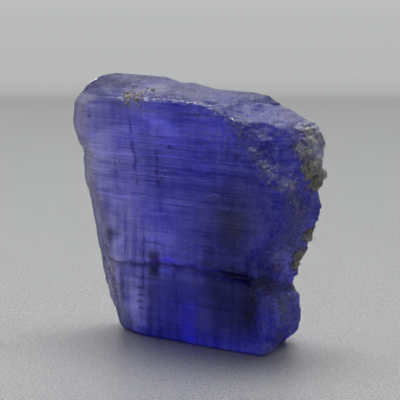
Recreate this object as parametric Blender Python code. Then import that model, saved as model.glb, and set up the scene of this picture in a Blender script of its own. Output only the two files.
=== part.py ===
"""A rough tanzanite crystal: one broken, striated, blue-violet crystal that stands on a flat break.

The broad striated face looks along -Y and its striations run along X.  The crystal stands on Z = 0, and the
frame's origin is under the middle of its box.  A few grains of the host rock are still fused to its right
edge and its top.  Lengths below are in millimetres, and the mesh is written in metres.
"""

import bmesh
import bpy
import numpy as np
from mathutils import Euler, Matrix, Vector

MM = 0.001

# Driving depths, along Y
FACE_Y = -4.2
LEFT_RIM_Y = ((0.0, -3.1), (1.5, -2.3), (3.0, -2.2))
RIGHT_RIM_Y = 1.5
BACK_Y = ((0.0, 2.6), (3.0, 3.5), (8.0, 4.2), (15.0, 4.0), (20.5, 2.8))
LEFT_RIM_THICKNESS = 1.6
BACK_CORNER_SETBACK = 0.5

# Driving widths, along X
FACE_BEVEL_WIDTH = 3.1
BACK_CORNER_INSET = 2.2
BACK_WEDGE_WIDTH = 5.5
LEFT_RIM_INSET = 0.5

# Outlines as (height, X) pairs
LEFT_RIM_X = (
    (0.0, -5.85), (0.5, -6.35), (1.3, -6.97), (2.6, -7.8), (4.7, -8.49), (8.2, -9.28), (11.0, -9.92),
    (13.1, -10.53), (15.2, -10.68), (16.6, -11.4), (17.6, -11.8), (19.4, -11.6), (20.5, -10.75),
)
FACE_EDGE_X = (
    (0.0, 9.9), (0.9, 8.8), (2.1, 8.2), (7.7, 8.0), (8.9, 9.0), (9.8, 10.0), (13.8, 11.1), (14.9, 10.1),
    (17.0, 8.2), (19.05, 6.8), (19.6, 5.8), (20.5, 4.4),
)
RIGHT_RIM_X = (
    (0.0, 8.4), (1.1, 9.4), (2.0, 9.9), (4.2, 9.65), (5.1, 8.9), (5.9, 9.55), (6.9, 9.4), (8.2, 10.4),
    (9.8, 10.75), (11.9, 11.8), (13.2, 11.2), (15.2, 11.6), (17.3, 11.75), (18.1, 11.6), (18.85, 10.8),
    (19.4, 9.1), (20.5, 7.2),
)

# Top: the walls end at the shoulder, a little higher along the broad face, and the crest closes the roof
SHOULDER_Z = 20.3
SHOULDER_RISE = 0.35
SHOULDER_RISE_AT = 1.65
SHOULDER_RISE_SPREAD = 0.45
CREST = (
    (-10.0, -1.5, 21.35), (-9.1, -1.2, 21.85), (-8.0, -0.7, 22.05), (-3.2, 0.0, 21.9), (-1.4, 0.1, 21.48),
    (-0.5, 0.2, 21.56), (1.8, 0.3, 21.13), (5.4, 0.6, 21.03), (6.6, 1.2, 20.75),
)

# The level crack that crosses the lower part, as (X, height), and how deep it is cut along X
CRACK_Z = ((-9.0, 5.8), (-3.0, 6.4), (-0.3, 6.75), (3.3, 6.5), (7.8, 6.1), (10.5, 5.2))
CRACK_DEPTH = ((-9.0, 0.08), (0.0, 0.15), (5.0, 0.3), (7.5, 0.75), (8.6, 0.5), (9.4, 0.0))
CRACK_HALF_HEIGHT = 0.32
CRACK_BACK_SHARE = 0.3

# Bowl-shaped breaks, as (X, Y, Z, radius, depth)
BOWLS = (
    (9.3, -2.4, 7.7, 2.1, 0.6),
    (11.4, -1.2, 13.2, 1.2, 0.3),
    (-4.5, 4.0, 15.5, 3.4, 0.9),
    (4.5, 4.2, 6.0, 3.8, 1.1),
    (1.6, 1.9, 21.0, 2.4, 0.45),
)

# Low ledges where the striated faces step in or out, and how many there are up the height
LEDGE_REACH = 0.055
BACK_LEDGE_REACH = 0.22
LEDGE_COUNT = 30
LEDGE_GAPS = (0.3, 1.7)
LEDGE_WANDER = 0.12
LEDGE_SEED = 4

# Lumps on the broken sides: how far they push at each corner of the section, and their two pitches
LUMP_REACH = (
    (0.0, 0.02), (1.0, 0.02), (1.95, 0.03), (2.3, 0.22), (2.75, 0.2), (3.0, 0.04), (3.4, 0.25), (4.0, 0.12),
    (5.0, 0.12), (6.0, 0.1), (7.0, 0.02),
)
LUMP_PITCH = 1.8
SMALL_LUMP_PITCH = 0.77
ROOF_LUMP_REACH = 0.12

# The spine: the line inside each section that its features are cut towards
SPINE_Y = -0.3
SPINE_LEFT_INSET = 3.6
SPINE_RIGHT_INSET = 3.4

# Columns round the section, from corner to corner, and rows up the walls and the roof
EDGE_COLUMNS = (5, 14, 12, 6, 13, 8, 4)
WALL_ROWS = 58
ROOF_ROWS = 7

# Grains of host rock, as (X, Y, Z, radius): the right crust, the crack's end, and the roof's left end
ROCK_GRAINS = (
    (10.7, 0.7, 18.2, 0.95), (11.2, 1.1, 17.4, 0.95), (11.0, 0.2, 16.5, 1.0), (11.2, 1.2, 16.2, 1.0),
    (11.2, 0.6, 15.2, 1.0), (11.4, 1.3, 14.6, 0.9), (11.3, 0.9, 14.0, 0.8), (10.4, 1.1, 9.6, 0.8),
    (9.5, 1.1, 7.8, 0.9), (9.1, 1.3, 6.8, 0.75), (-3.3, -3.9, 20.35, 0.6), (-2.6, -2.6, 21.05, 0.6),
    (-4.3, -3.6, 20.4, 0.5),
)
GRAIN_CUTS = 7
GRAIN_CUT_SHARE = (0.62, 0.85)
GRAIN_SQUASH = (0.75, 1.1)
GRAIN_SEED = 11


def along(pairs, at):
    """Straight-line value of (position, value) pairs at the positions asked for."""
    where, value = zip(*pairs)
    return np.interp(at, where, value)


def hashed(ix, iy, iz, seed):
    """A fixed pseudo-random number from 0 to 1 for each lattice point."""
    mixed = ix * 374761393 + iy * 668265263 + iz * 2147483647 + seed * 974711
    mixed = (mixed ^ (mixed >> 13)) * 1274126177
    return ((mixed ^ (mixed >> 16)) & 0xFFFFFF) / float(0xFFFFFF)


def value_noise(x, y, z, seed):
    """Smooth noise from -1 to 1: the lattice values round each point, blended by smoothsteps."""
    cell = [np.floor(c).astype(np.int64) for c in (x, y, z)]
    part = [c - f for c, f in zip((x, y, z), cell)]
    blend = [p * p * (3.0 - 2.0 * p) for p in part]
    total = np.zeros(x.shape)
    for dx in (0, 1):
        for dy in (0, 1):
            for dz in (0, 1):
                weight = 1.0
                for b, d in zip(blend, (dx, dy, dz)):
                    weight = weight * (b if d else 1.0 - b)
                total += weight * hashed(cell[0] + dx, cell[1] + dy, cell[2] + dz, seed)
    return 2.0 * total - 1.0


def corner_table(z):
    """X and Y of the section's seven corners at each height, anticlockwise seen from above."""
    left = along(LEFT_RIM_X, z)
    edge = along(FACE_EDGE_X, z)
    right = along(RIGHT_RIM_X, z)
    back = along(BACK_Y, z)
    rim = along(LEFT_RIM_Y, z)
    same = np.ones_like(z)
    corner_x = (left, left + FACE_BEVEL_WIDTH, edge, right, right - BACK_CORNER_INSET,
                left + BACK_WEDGE_WIDTH, left + LEFT_RIM_INSET)
    corner_y = (rim, FACE_Y * same, FACE_Y * same, RIGHT_RIM_Y * same,
                back - BACK_CORNER_SETBACK, back, rim + LEFT_RIM_THICKNESS)
    return np.array(corner_x), np.array(corner_y)


def section(s, z):
    """X and Y on the section at height z, where s counts corners round it from 0 to 7."""
    corner_x, corner_y = corner_table(z)
    corners = len(EDGE_COLUMNS)
    whole = np.minimum(np.floor(s).astype(int), corners - 1)
    part = s - whole
    after = (whole + 1) % corners
    pick = np.arange(z.size)
    x = corner_x[whole, pick] * (1.0 - part) + corner_x[after, pick] * part
    y = corner_y[whole, pick] * (1.0 - part) + corner_y[after, pick] * part
    return x, y


def shoulder(s):
    """The height where each column's wall ends."""
    middle = np.exp(-((s - SHOULDER_RISE_AT) / SHOULDER_RISE_SPREAD) ** 2)
    return SHOULDER_Z + SHOULDER_RISE * middle


def crest_share(s):
    """How far along the crest each column ends, the same for the front column and the back one it meets."""
    half = s[:s.size // 2 + 1]
    x, _ = section(half, np.full(half.size, SHOULDER_Z))
    front = (x - x[0]) / (x[-1] - x[0])
    return np.concatenate([front, front[-2:0:-1]])


def crest_point(share):
    """A point on the crest line, from its left end to its right end."""
    x, y, z = zip(*CREST)
    at = x[0] + share * (x[-1] - x[0])
    return at, np.interp(at, x, y), np.interp(at, x, z)


def crack_cut(x, z, s):
    """How deep the level crack cuts in at each point: a smooth groove, shallower round the back."""
    away = (z - along(CRACK_Z, x)) / CRACK_HALF_HEIGHT
    side = np.where(s < 3.3, 1.0, CRACK_BACK_SHARE)
    return side * along(CRACK_DEPTH, x) * np.exp(-away ** 2)


def bowl_cut(x, y, z):
    """How deep the bowl-shaped breaks cut in at each point: a paraboloid inside each radius."""
    cut = np.zeros_like(x)
    for bowl_x, bowl_y, bowl_z, radius, depth in BOWLS:
        share = ((x - bowl_x) ** 2 + (y - bowl_y) ** 2 + (z - bowl_z) ** 2) / radius ** 2
        cut = np.maximum(cut, depth * np.clip(1.0 - share, 0.0, 1.0))
    return cut


def ledge_levels():
    """Heights where the face steps, unevenly spaced, and how far the band below each step stands out."""
    random = np.random.default_rng(LEDGE_SEED)
    gaps = random.uniform(*LEDGE_GAPS, size=LEDGE_COUNT)
    heights = np.cumsum(gaps) / gaps.sum() * SHOULDER_Z
    return heights, random.uniform(-1.0, 1.0, size=LEDGE_COUNT)


def ledge_push(x, y, z, s):
    """The ledges: flat bands that step in and out with height and hardly change along the face."""
    heights, reach = ledge_levels()
    wander = LEDGE_WANDER * value_noise(0.15 * x, 0.15 * y, 0.5 * z, 5)
    band = np.clip(np.searchsorted(heights, z + wander), 0, LEDGE_COUNT - 1)
    strength = np.where((s > 3.6) & (s < 6.0), BACK_LEDGE_REACH, LEDGE_REACH)
    broken_side = (s > 2.0) & (s < 3.6)
    return np.where(broken_side, 0.0, strength * reach[band])


def lump_push(x, y, z, s):
    """The lumps of the broken sides: two sizes of smooth noise."""
    large = value_noise(x / LUMP_PITCH, y / LUMP_PITCH, z / LUMP_PITCH, 1)
    small = value_noise(x / SMALL_LUMP_PITCH, y / SMALL_LUMP_PITCH, z / SMALL_LUMP_PITCH, 2)
    return along(LUMP_REACH, s) * (large + 0.5 * small)


def outward(x, y, z):
    """Unit directions in the XY plane from the spine to each point."""
    low = along(LEFT_RIM_X, z) + SPINE_LEFT_INSET
    high = along(RIGHT_RIM_X, z) - SPINE_RIGHT_INSET
    away_x, away_y = x - np.clip(x, low, high), y - SPINE_Y
    length = np.hypot(away_x, away_y)
    return away_x / length, away_y / length


def column_places():
    """Values of s for the columns, evenly spaced between neighbouring corners, without the closing one."""
    runs = [corner + np.arange(count) / count for corner, count in enumerate(EDGE_COLUMNS)]
    return np.concatenate(runs)


def wall_points(s):
    """Rows of points up the walls, each row one section pushed in and out by its features."""
    rows = np.arange(WALL_ROWS + 1) / WALL_ROWS
    grid_s = np.tile(s, (WALL_ROWS + 1, 1))
    z = np.outer(rows, shoulder(s))
    x, y = (flat.reshape(z.shape) for flat in section(grid_s.ravel(), z.ravel()))
    out_x, out_y = outward(x, y, z)
    push = lump_push(x, y, z, grid_s) + ledge_push(x, y, z, grid_s)
    push -= crack_cut(x, z, grid_s) + bowl_cut(x, y, z)
    return np.stack([x + push * out_x, y + push * out_y, z], axis=-1)


def roof_points(s, shoulder_row):
    """Rows of points over the roof: straight lines from the shoulder to the crest, with lumps and a bowl."""
    crest = np.stack(crest_point(crest_share(s)), axis=-1)
    share = ((np.arange(ROOF_ROWS) + 1) / ROOF_ROWS)[:, None, None]
    roof = shoulder_row * (1.0 - share) + crest * share
    x, y, z = roof[..., 0], roof[..., 1], roof[..., 2]
    swell = np.sin(np.pi * share[..., 0])
    lumps = value_noise(0.6 * x, 1.6 * y, 0.0 * z, 4)
    roof[..., 2] += swell * (ROOF_LUMP_REACH * lumps - bowl_cut(x, y, z))
    return roof


def crystal_points():
    """All the rows, from the flat base up the walls and over the roof to the crest."""
    s = column_places()
    walls = wall_points(s)
    return np.concatenate([walls, roof_points(s, walls[-1])])


def crystal_mesh():
    """A primitive grid shaped by crystal_points, closed down one seam, along the crest and over the base."""
    points = crystal_points() * MM
    rows, columns = points.shape[:2]
    bm = bmesh.new()
    bmesh.ops.create_grid(bm, x_segments=columns, y_segments=rows - 1, size=0.5)
    for vert in bm.verts:
        column = round((vert.co.x + 0.5) * columns) % columns
        row = round((vert.co.y + 0.5) * (rows - 1))
        vert.co = Vector(points[row, column])
    bmesh.ops.remove_doubles(bm, verts=bm.verts, dist=1e-6)
    base_ring = [edge for edge in bm.edges if edge.is_boundary]
    bmesh.ops.holes_fill(bm, edges=base_ring, sides=0)
    bmesh.ops.triangulate(bm, faces=bm.faces)
    bmesh.ops.recalc_face_normals(bm, faces=bm.faces)
    mesh = bpy.data.meshes.new("tanzanite_crystal")
    bm.to_mesh(mesh)
    bm.free()
    return mesh


def principled(name, colour, roughness, transmission=0.0, ior=1.5):
    """A plain Principled material."""
    material = bpy.data.materials.new(name)
    material.use_nodes = True
    shader = material.node_tree.nodes["Principled BSDF"]
    shader.inputs["Base Color"].default_value = (*colour, 1.0)
    shader.inputs["Roughness"].default_value = roughness
    shader.inputs["Metallic"].default_value = 0.0
    shader.inputs["Transmission Weight"].default_value = transmission
    shader.inputs["IOR"].default_value = ior
    material.diffuse_color = (*colour, 1.0)
    return material


def rock_grain(name, place, radius, random, collection, material):
    """A blocky grain: an icosphere cut back by a few random planes, squashed and turned."""
    bm = bmesh.new()
    bmesh.ops.create_icosphere(bm, subdivisions=2, radius=radius * MM)
    for _ in range(GRAIN_CUTS):
        direction = Vector(random.normal(size=3)).normalized()
        limit = random.uniform(*GRAIN_CUT_SHARE) * radius * MM
        for vert in bm.verts:
            beyond = vert.co.dot(direction) - limit
            if beyond > 0.0:
                vert.co -= direction * beyond
    turn = Euler(random.uniform(0.0, np.pi, size=3)).to_matrix().to_4x4()
    squash = Matrix.Diagonal((*random.uniform(*GRAIN_SQUASH, size=3), 1.0))
    bmesh.ops.transform(bm, matrix=turn @ squash, verts=bm.verts)
    mesh = bpy.data.meshes.new(name)
    bm.to_mesh(mesh)
    bm.free()
    mesh.materials.append(material)
    grain = bpy.data.objects.new(name, mesh)
    grain.location = Vector(place) * MM
    grain.hide_render = True
    grain.display_type = "WIRE"
    collection.objects.link(grain)


def new_collection(name):
    collection = bpy.data.collections.new(name)
    bpy.context.scene.collection.children.link(collection)
    return collection


def clear_scene():
    for obj in list(bpy.data.objects):
        bpy.data.objects.remove(obj, do_unlink=True)


def main():
    clear_scene()
    parts = new_collection("tanzanite")
    shapes = new_collection("rock_grain_shapes")
    violet = principled("tanzanite_violet", (0.055, 0.045, 0.30), 0.3, transmission=0.8, ior=1.69)
    rock = principled("host_rock_beige", (0.36, 0.33, 0.25), 0.75)
    crystal = bpy.data.objects.new("tanzanite_crystal", crystal_mesh())
    crystal.data.materials.append(violet)
    crystal.data.materials.append(rock)
    parts.objects.link(crystal)

    random = np.random.default_rng(GRAIN_SEED)
    for number, (*place, radius) in enumerate(ROCK_GRAINS, start=1):
        rock_grain(f"rock_grain_{number:02d}", place, radius, random, shapes, rock)
    union = crystal.modifiers.new("fused_rock_grains", "BOOLEAN")
    union.operation = "UNION"
    union.operand_type = "COLLECTION"
    union.collection = shapes
    union.solver = "EXACT"


main()
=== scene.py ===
"""Looks of the rough tanzanite crystal: its worn, striated surface, its host-rock grains, and the studio."""

import math

import bpy
import numpy as np
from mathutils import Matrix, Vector


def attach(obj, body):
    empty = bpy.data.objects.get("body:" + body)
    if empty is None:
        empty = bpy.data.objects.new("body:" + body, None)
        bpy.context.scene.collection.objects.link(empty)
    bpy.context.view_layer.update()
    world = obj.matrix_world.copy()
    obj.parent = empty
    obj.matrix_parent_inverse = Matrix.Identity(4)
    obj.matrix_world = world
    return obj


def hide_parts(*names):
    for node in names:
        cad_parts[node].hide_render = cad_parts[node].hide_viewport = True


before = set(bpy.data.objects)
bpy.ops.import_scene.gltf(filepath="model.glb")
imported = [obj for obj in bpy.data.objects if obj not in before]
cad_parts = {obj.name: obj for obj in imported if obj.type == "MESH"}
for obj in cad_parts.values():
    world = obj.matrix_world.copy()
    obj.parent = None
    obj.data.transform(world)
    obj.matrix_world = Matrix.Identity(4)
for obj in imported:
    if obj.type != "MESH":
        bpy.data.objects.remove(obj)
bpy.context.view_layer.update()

MM = 0.001

# The crystal's main form in millimetres, as the solid has it
FACE_Y = -4.2
LEFT_RIM_Y = ((0.0, -3.1), (1.5, -2.3), (3.0, -2.2))
RIGHT_RIM_Y = 1.5
BACK_Y = ((0.0, 2.6), (3.0, 3.5), (8.0, 4.2), (15.0, 4.0), (20.5, 2.8))
LEFT_RIM_THICKNESS = 1.6
BACK_CORNER_SETBACK = 0.5
FACE_BEVEL_WIDTH = 3.1
BACK_CORNER_INSET = 2.2
BACK_WEDGE_WIDTH = 5.5
LEFT_RIM_INSET = 0.5
LEFT_RIM_X = (
    (0.0, -5.85), (0.5, -6.35), (1.3, -6.97), (2.6, -7.8), (4.7, -8.49), (8.2, -9.28), (11.0, -9.92),
    (13.1, -10.53), (15.2, -10.68), (16.6, -11.4), (17.6, -11.8), (19.4, -11.6), (20.5, -10.75),
)
FACE_EDGE_X = (
    (0.0, 9.9), (0.9, 8.8), (2.1, 8.2), (7.7, 8.0), (8.9, 9.0), (9.8, 10.0), (13.8, 11.1), (14.9, 10.1),
    (17.0, 8.2), (19.05, 6.8), (19.6, 5.8), (20.5, 4.4),
)
RIGHT_RIM_X = (
    (0.0, 8.4), (1.1, 9.4), (2.0, 9.9), (4.2, 9.65), (5.1, 8.9), (5.9, 9.55), (6.9, 9.4), (8.2, 10.4),
    (9.8, 10.75), (11.9, 11.8), (13.2, 11.2), (15.2, 11.6), (17.3, 11.75), (18.1, 11.6), (18.85, 10.8),
    (19.4, 9.1), (20.5, 7.2),
)
SHOULDER_Z = 20.3
SHOULDER_RISE = 0.35
SHOULDER_RISE_AT = 1.65
SHOULDER_RISE_SPREAD = 0.45
CREST = (
    (-10.0, -1.5, 21.35), (-9.1, -1.2, 21.85), (-8.0, -0.7, 22.05), (-3.2, 0.0, 21.9), (-1.4, 0.1, 21.48),
    (-0.5, 0.2, 21.56), (1.8, 0.3, 21.13), (5.4, 0.6, 21.03), (6.6, 1.2, 20.75),
)
CRACK_Z = ((-9.0, 5.8), (-3.0, 6.4), (-0.3, 6.75), (3.3, 6.5), (7.8, 6.1), (10.5, 5.2))
CRACK_DEPTH = ((-9.0, 0.08), (0.0, 0.15), (5.0, 0.3), (7.5, 0.75), (8.6, 0.5), (9.4, 0.0))
CRACK_HALF_HEIGHT = 0.32
# The crack is shallower from this place round the section, counted in corners
CRACK_BACK_START = 3.3
CRACK_BACK_SHARE = 0.3
# Bowl-shaped breaks: X, Y and Z of the middle, radius and depth
BOWLS = (
    (9.3, -2.4, 7.7, 2.1, 0.6),
    (11.4, -1.2, 13.2, 1.2, 0.3),
    (-4.5, 4.0, 15.5, 3.4, 0.9),
    (4.5, 4.2, 6.0, 3.8, 1.1),
    (1.6, 1.9, 21.0, 2.4, 0.45),
)
LEDGE_REACH = 0.055
BACK_LEDGE_REACH = 0.22
LEDGE_COUNT = 30
LEDGE_GAPS = (0.3, 1.7)
LEDGE_WANDER = 0.12
LEDGE_SEED = 4
# Noise along the face and up it, in cells per millimetre, and its seed
LEDGE_WAVES = (0.15, 0.5, 5)
BACK_LEDGES_ROUND = (3.6, 6.0)
NO_LEDGES_ROUND = (2.0, 3.6)
LUMP_REACH = (
    (0.0, 0.02), (1.0, 0.02), (1.95, 0.03), (2.3, 0.22), (2.75, 0.2), (3.0, 0.04), (3.4, 0.25), (4.0, 0.12),
    (5.0, 0.12), (6.0, 0.1), (7.0, 0.02),
)
LUMP_PITCH = 1.8
SMALL_LUMP_PITCH = 0.77
ROOF_LUMP_REACH = 0.12
SPINE_Y = -0.3
SPINE_LEFT_INSET = 3.6
SPINE_RIGHT_INSET = 3.4
# Host-rock grains: X, Y and Z of the middle, and radius
ROCK_GRAINS = (
    (10.7, 0.7, 18.2, 0.95), (11.2, 1.1, 17.4, 0.95), (11.0, 0.2, 16.5, 1.0), (11.2, 1.2, 16.2, 1.0),
    (11.2, 0.6, 15.2, 1.0), (11.4, 1.3, 14.6, 0.9), (11.3, 0.9, 14.0, 0.8), (10.4, 1.1, 9.6, 0.8),
    (9.5, 1.1, 7.8, 0.9), (9.1, 1.3, 6.8, 0.75), (-3.3, -3.9, 20.35, 0.6), (-2.6, -2.6, 21.05, 0.6),
    (-4.3, -3.6, 20.4, 0.5),
)

# The surface's grid, finer than the solid's
# Columns from corner to corner; the first three runs and the last four have the same total
EDGE_COLUMNS = (26, 92, 54, 26, 74, 46, 26)
WALL_ROWS = 250
ROOF_ROWS = 20
BASE_ROWS = 6
CORNER_SOFTENING = 3
NORMAL_SMOOTHING = 3
# The broad face's two corners are worn much rounder than the rest, and so is its top edge
WORN_CORNERS = ((1.0, 0.16), (2.0, 0.13))
WORN_ROUNDS = 60
BROW_ROWS = 7.0
BROW_ROUNDS = 40
UNDERCUT_DEPTH = 0.16
UNDERCUT_HEIGHT = 0.14
# Grains that the surface swells over: X, Y and Z of the middle, and radius
SKINNED_GRAINS = ((10.9, 0.5, 18.0, 1.2), (11.3, 1.0, 17.1, 1.1), (11.3, 0.7, 16.3, 1.0))
SKIN_SWELL = 0.30

# Fine relief in millimetres
# Names that end in ROUND go by place round the section, counted in corners: tables, or two ends
BROKEN_ROUND = ((1.75, 0.0), (2.05, 1.0), (3.3, 1.0), (3.7, 0.3), (6.2, 0.2), (6.6, 0.0))
ROUGH_ROUND = ((0.0, 0.2), (1.9, 0.2), (2.1, 1.0), (3.4, 1.0), (3.8, 0.3), (7.0, 0.2))
BACK_ROUND = (3.6, 6.2)
BROW_ROUND = (1.35, 2.05)
VISIBLE_ROUND = (1.0, 3.1)
ROOF_FADE_ROWS = 2.0
BROW_CHIP_ROWS = 3.0
RIDGE_CORNER = 2.0
RIDGE_WIDTH = 0.07
RIDGE_BY_HEIGHT = ((13.0, 0.0), (14.6, 1.0))
STRIP_END = 1.15
STRIP_BY_HEIGHT = ((14.0, 1.0), (17.5, 0.15))
STRIA_ROUND = (
    (0.0, 0.3), (1.0, 0.5), (1.1, 1.0), (1.9, 1.0), (2.1, 0.2), (3.0, 0.1), (3.5, 0.4), (4.0, 0.9),
    (6.0, 0.9), (7.0, 0.3),
)
STRIA_BY_HEIGHT = ((0.0, 0.15), (5.0, 0.2), (9.0, 0.7), (22.0, 0.8))
STRIA_ROOF_LOSS = 0.6
# Striations: cells per millimetre along the face and up it, reach and seed
STRIAE = ((0.04, 1.2, 0.010, 31), (0.09, 3.1, 0.010, 32), (0.25, 6.3, 0.010, 33))
GROOVE_WAVES = (0.06, 2.6, 34)
GROOVE_REACH = 0.014
GROOVE_SHARPNESS = 5.0
# Grain of the rough surface: cells per millimetre, reach and seed
SURFACE_GRAIN = ((1.7, 0.045, 41), (3.9, 0.03, 42), (7.3, 0.018, 43))
# How likely scallops are on the broken side, round the back and on the roof
SCALLOP_CHANCES = (3.0, 0.5, 0.8)
SCALLOP_COUNT = 420
SCALLOP_RADIUS = (0.35, 1.3)
SCALLOP_DEPTH = (0.06, 0.16)
SCALLOP_SEED = 21
CHIP_COUNT = 240
CHIP_RADIUS = (0.10, 0.30)
CHIP_DEPTH = (0.2, 0.45)
CHIP_SEED = 22
TERRACE_ROUND = ((2.0, 0.0), (2.2, 1.0), (3.5, 1.0), (3.9, 0.0))
TERRACE_WAVES = ((0.8, 1.2, 1.0, 44), (1.9, 2.4, 0.5, 45))
TERRACE_REACH = 0.13
TERRACE_STEPS = 2.5
# Relief fades out over this height above the base, and over this many rows below the crest
BASE_FADE = 0.25
CREST_FADE_ROWS = 3.0

# Host rock: grains, the thin rock that clings between them, and the crumbs on the upper left
GRAIN_PLANES = 9
GRAIN_PLANE_REACH = (0.62, 0.95)
GRAIN_REACH_LIMIT = 1.15
GRAIN_SQUASH = (0.75, 1.1)
# A plane limits a grain only in directions that face it by more than this
LEAST_FACING = 0.05
UNLIMITED = 9.0
POLE_TILT = 0.02
# A grain's sugary skin: cells per millimetre and seed
GRAIN_SKIN = ((5.0, 61), (11.0, 62))
GRAIN_ROUGHENING = 0.04
# Points round a grain and from pole to pole
GRAIN_GRID = (22, 15)
CRUMB_GRID = (8, 6)
FLAKE_GRID = (6, 5)
CORE_RADIUS = 0.9
CRUST_CHILDREN = 12
CHILD_AWAY = (0.45, 0.75)
CHILD_RADIUS = (0.16, 0.36)
CHILD_SHADE = 0.2
# How many radii from a grain's middle the rock that clings round it fades
ROCK_SPREAD = 1.8
# How large the cores are beside the solid's grains, and how pale; those on the roof are mostly crumbs
GRAIN_SHARE_BY_HEIGHT = ((9.8, 0.75), (15.3, 0.78), (16.0, 0.42), (19.0, 0.38), (20.3, 0.4))
GRAIN_PALENESS_BY_HEIGHT = (
    (6.0, 0.2), (9.8, 0.3), (13.5, 0.3), (15.4, 0.4), (16.3, 0.7), (18.5, 0.8), (20.3, 0.7),
)
CRUST_SEED = 31
# Block of the crystal's grid that the clinging rock covers
ROCK_SKIN_ROWS = (70, 250)
ROCK_SKIN_COLUMNS = (136, 200)
# By height: the least share of rock that clings, how far it lifts off the skin, and how lumpy it is
ROCK_SKIN_LEAST = (
    (6.0, 0.66), (10.5, 0.66), (13.0, 0.52), (15.6, 0.48), (16.6, 0.46), (18.6, 0.50), (20.0, 0.7),
)
ROCK_SKIN_LIFT = ((13.0, 0.10), (15.8, 0.06), (16.6, 0.01))
ROCK_SKIN_LUMPS = ((13.0, 0.08), (15.8, 0.06), (16.6, 0.03), (18.0, 0.006))
# Lumps of the clinging rock: cells per millimetre, reach and seed
ROCK_LUMPS = ((1.3, 1.0, 71), (3.1, 0.6, 72), (4.6, 0.7, 73))
ROCK_SPECKLE_WAVES = (6.0, 6.0, 76)
ROCK_SKIN_THINNEST = 0.015
ROCK_SKIN_RAGGED = 0.20
ROCK_SKIN_SPECKLED = 0.34
SHEET_DEPTH = 0.03
CLING_EDGE = 0.4
CLING_EDGE_LEAST = 0.2
CLING_EDGE_TINT = np.array([0.17, 0.17, 0.46])
SKIN_MOTTLE = 0.25
# The clinging rock's own colours by height, linear
SKIN_RED = (
    (6.0, 0.25), (10.5, 0.25), (13.5, 0.36), (15.0, 0.42), (15.8, 0.42), (16.6, 0.60), (17.8, 0.55),
    (18.5, 0.20), (19.3, 0.15),
)
SKIN_BLUE = (
    (6.0, 0.22), (10.5, 0.25), (13.5, 0.34), (15.0, 0.36), (15.8, 0.62), (16.6, 0.88), (17.8, 0.70),
    (18.5, 0.32), (19.3, 0.29),
)
# Patches on it: name, middle, reach, strength and colour
SKIN_PATCHES = (
    ("ochre patch", (11.5, 0.2, 17.7), 0.55, 0.8, (0.46, 0.42, 0.24)),
    ("white crystal", (11.1, -0.6, 17.5), 0.28, 0.95, (0.85, 0.85, 0.88)),
    ("white crystal, lower", (11.2, -0.3, 17.0), 0.22, 0.9, (0.75, 0.75, 0.80)),
    ("olive block", (11.6, 0.5, 14.9), 0.6, 0.8, (0.36, 0.36, 0.22)),
    # The dark gaps are painted shade between the blocks of rock
    ("dark gap", (11.6, 0.6, 15.6), 0.22, 0.9, (0.02, 0.02, 0.03)),
    ("dark gap, lower", (11.5, 0.2, 14.3), 0.2, 0.9, (0.02, 0.02, 0.03)),
)
# Dark and light colour of the rock grains and of the crumbs, linear
ROCK_COLOURS = ((0.24, 0.235, 0.17), (0.95, 0.93, 0.95))
CRUMB_COLOURS = ((0.38, 0.33, 0.18), (1.0, 0.98, 0.92))
CRUMB_COUNT = 240
CRUMB_SEED = 32
CRUMB_LEAST_RADIUS = 0.03
CRUMB_RADIUS_SPREAD = 0.11
CRUMB_SHADE_POWER = 1.5
CRUMB_SCATTER = 0.02
# Middle and reach of the crumb patch, and how strongly it takes the ridge's painted pit shade, painted glints
# and splinters, standing in for shade among the crumbs
CRUMB_PATCH = (-4.0, -3.3, 20.4, 0.9, 1.0, 0.6)
CRUMB_PIT_SHADE_AND_GLINTS = 0.9

# Splinters that glint
FLAKE_COUNT = 4200
FLAKE_SEED = 33
FLAKE_RADIUS = (0.018, 0.055)
FLAKE_STRETCH = 2.6
FLAKES_BY_HEIGHT = ((0.0, 0.1), (5.0, 0.3), (8.0, 0.3), (10.0, 0.5), (14.0, 1.0), (20.0, 1.0))
# They stand in patches, in front of one depth, and low down only off the broad face
FLAKE_PATCH_PITCH = 0.7
FLAKE_PATCH_SEED = 81
FLAKE_PATCH_LEVEL = 0.3
FLAKE_PATCH_LEAST = 0.02
FLAKES_FRONT_OF = 1.5
FLAKES_OFF_FACE_BELOW = 9.0
FLAKES_OFF_FACE_Y = -2.5
FLAKE_SHADE_POWER = 1.6
RIDGE_FLAKE_CHANCE = 40.0
FROST_CHANCE = 45.0
# Frosted patches, where splinters stand closest: middle, reach and how thickly they are set
FROST_SPOTS = (
    (9.35, -0.5, 3.7, 0.7, 2.2), (9.45, 0.3, 4.5, 0.5, 1.2), (9.6, 0.2, 2.4, 0.8, 0.5),
    (8.9, 0.2, 5.7, 0.35, 1.0), (-7.2, -3.5, 6.9, 0.6, 0.7), (-6.7, -3.3, 4.9, 0.7, 0.8),
    (-6.5, -3.4, 3.4, 0.7, 0.8), (-6.3, -3.3, 1.9, 0.6, 0.6), (10.6, -1.6, 12.3, 1.1, 0.5),
    (9.9, -0.6, 9.0, 1.2, 0.5), (10.9, -2.2, 13.9, 0.8, 1.0), (9.6, -3.9, 15.8, 0.7, 1.2),
    (8.6, -4.1, 16.9, 0.6, 1.0), (11.1, -0.9, 17.2, 0.8, 0.9), (7.2, -4.1, 18.6, 0.9, 0.8),
    (9.2, -0.6, 3.2, 1.7, 0.25), (-5.0, -4.2, 14.6, 0.5, 0.25), (4.1, -4.2, 17.8, 1.3, 0.16),
)

# Stray lint: where each fibre starts, the way it runs, and its length and sag
LINT = (
    ((10.4, 0.7, 8.75), (0.95, 0.2, 0.10), 1.3, 0.18),
    ((10.4, 0.8, 8.9), (0.75, 0.3, 0.50), 1.2, -0.20),
    ((10.7, 0.7, 9.9), (0.25, 0.2, 0.95), 0.9, 0.15),
)
LINT_RADIUS = 0.012
LINT_RINGS = 15
LINT_SIDES = 6

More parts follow.
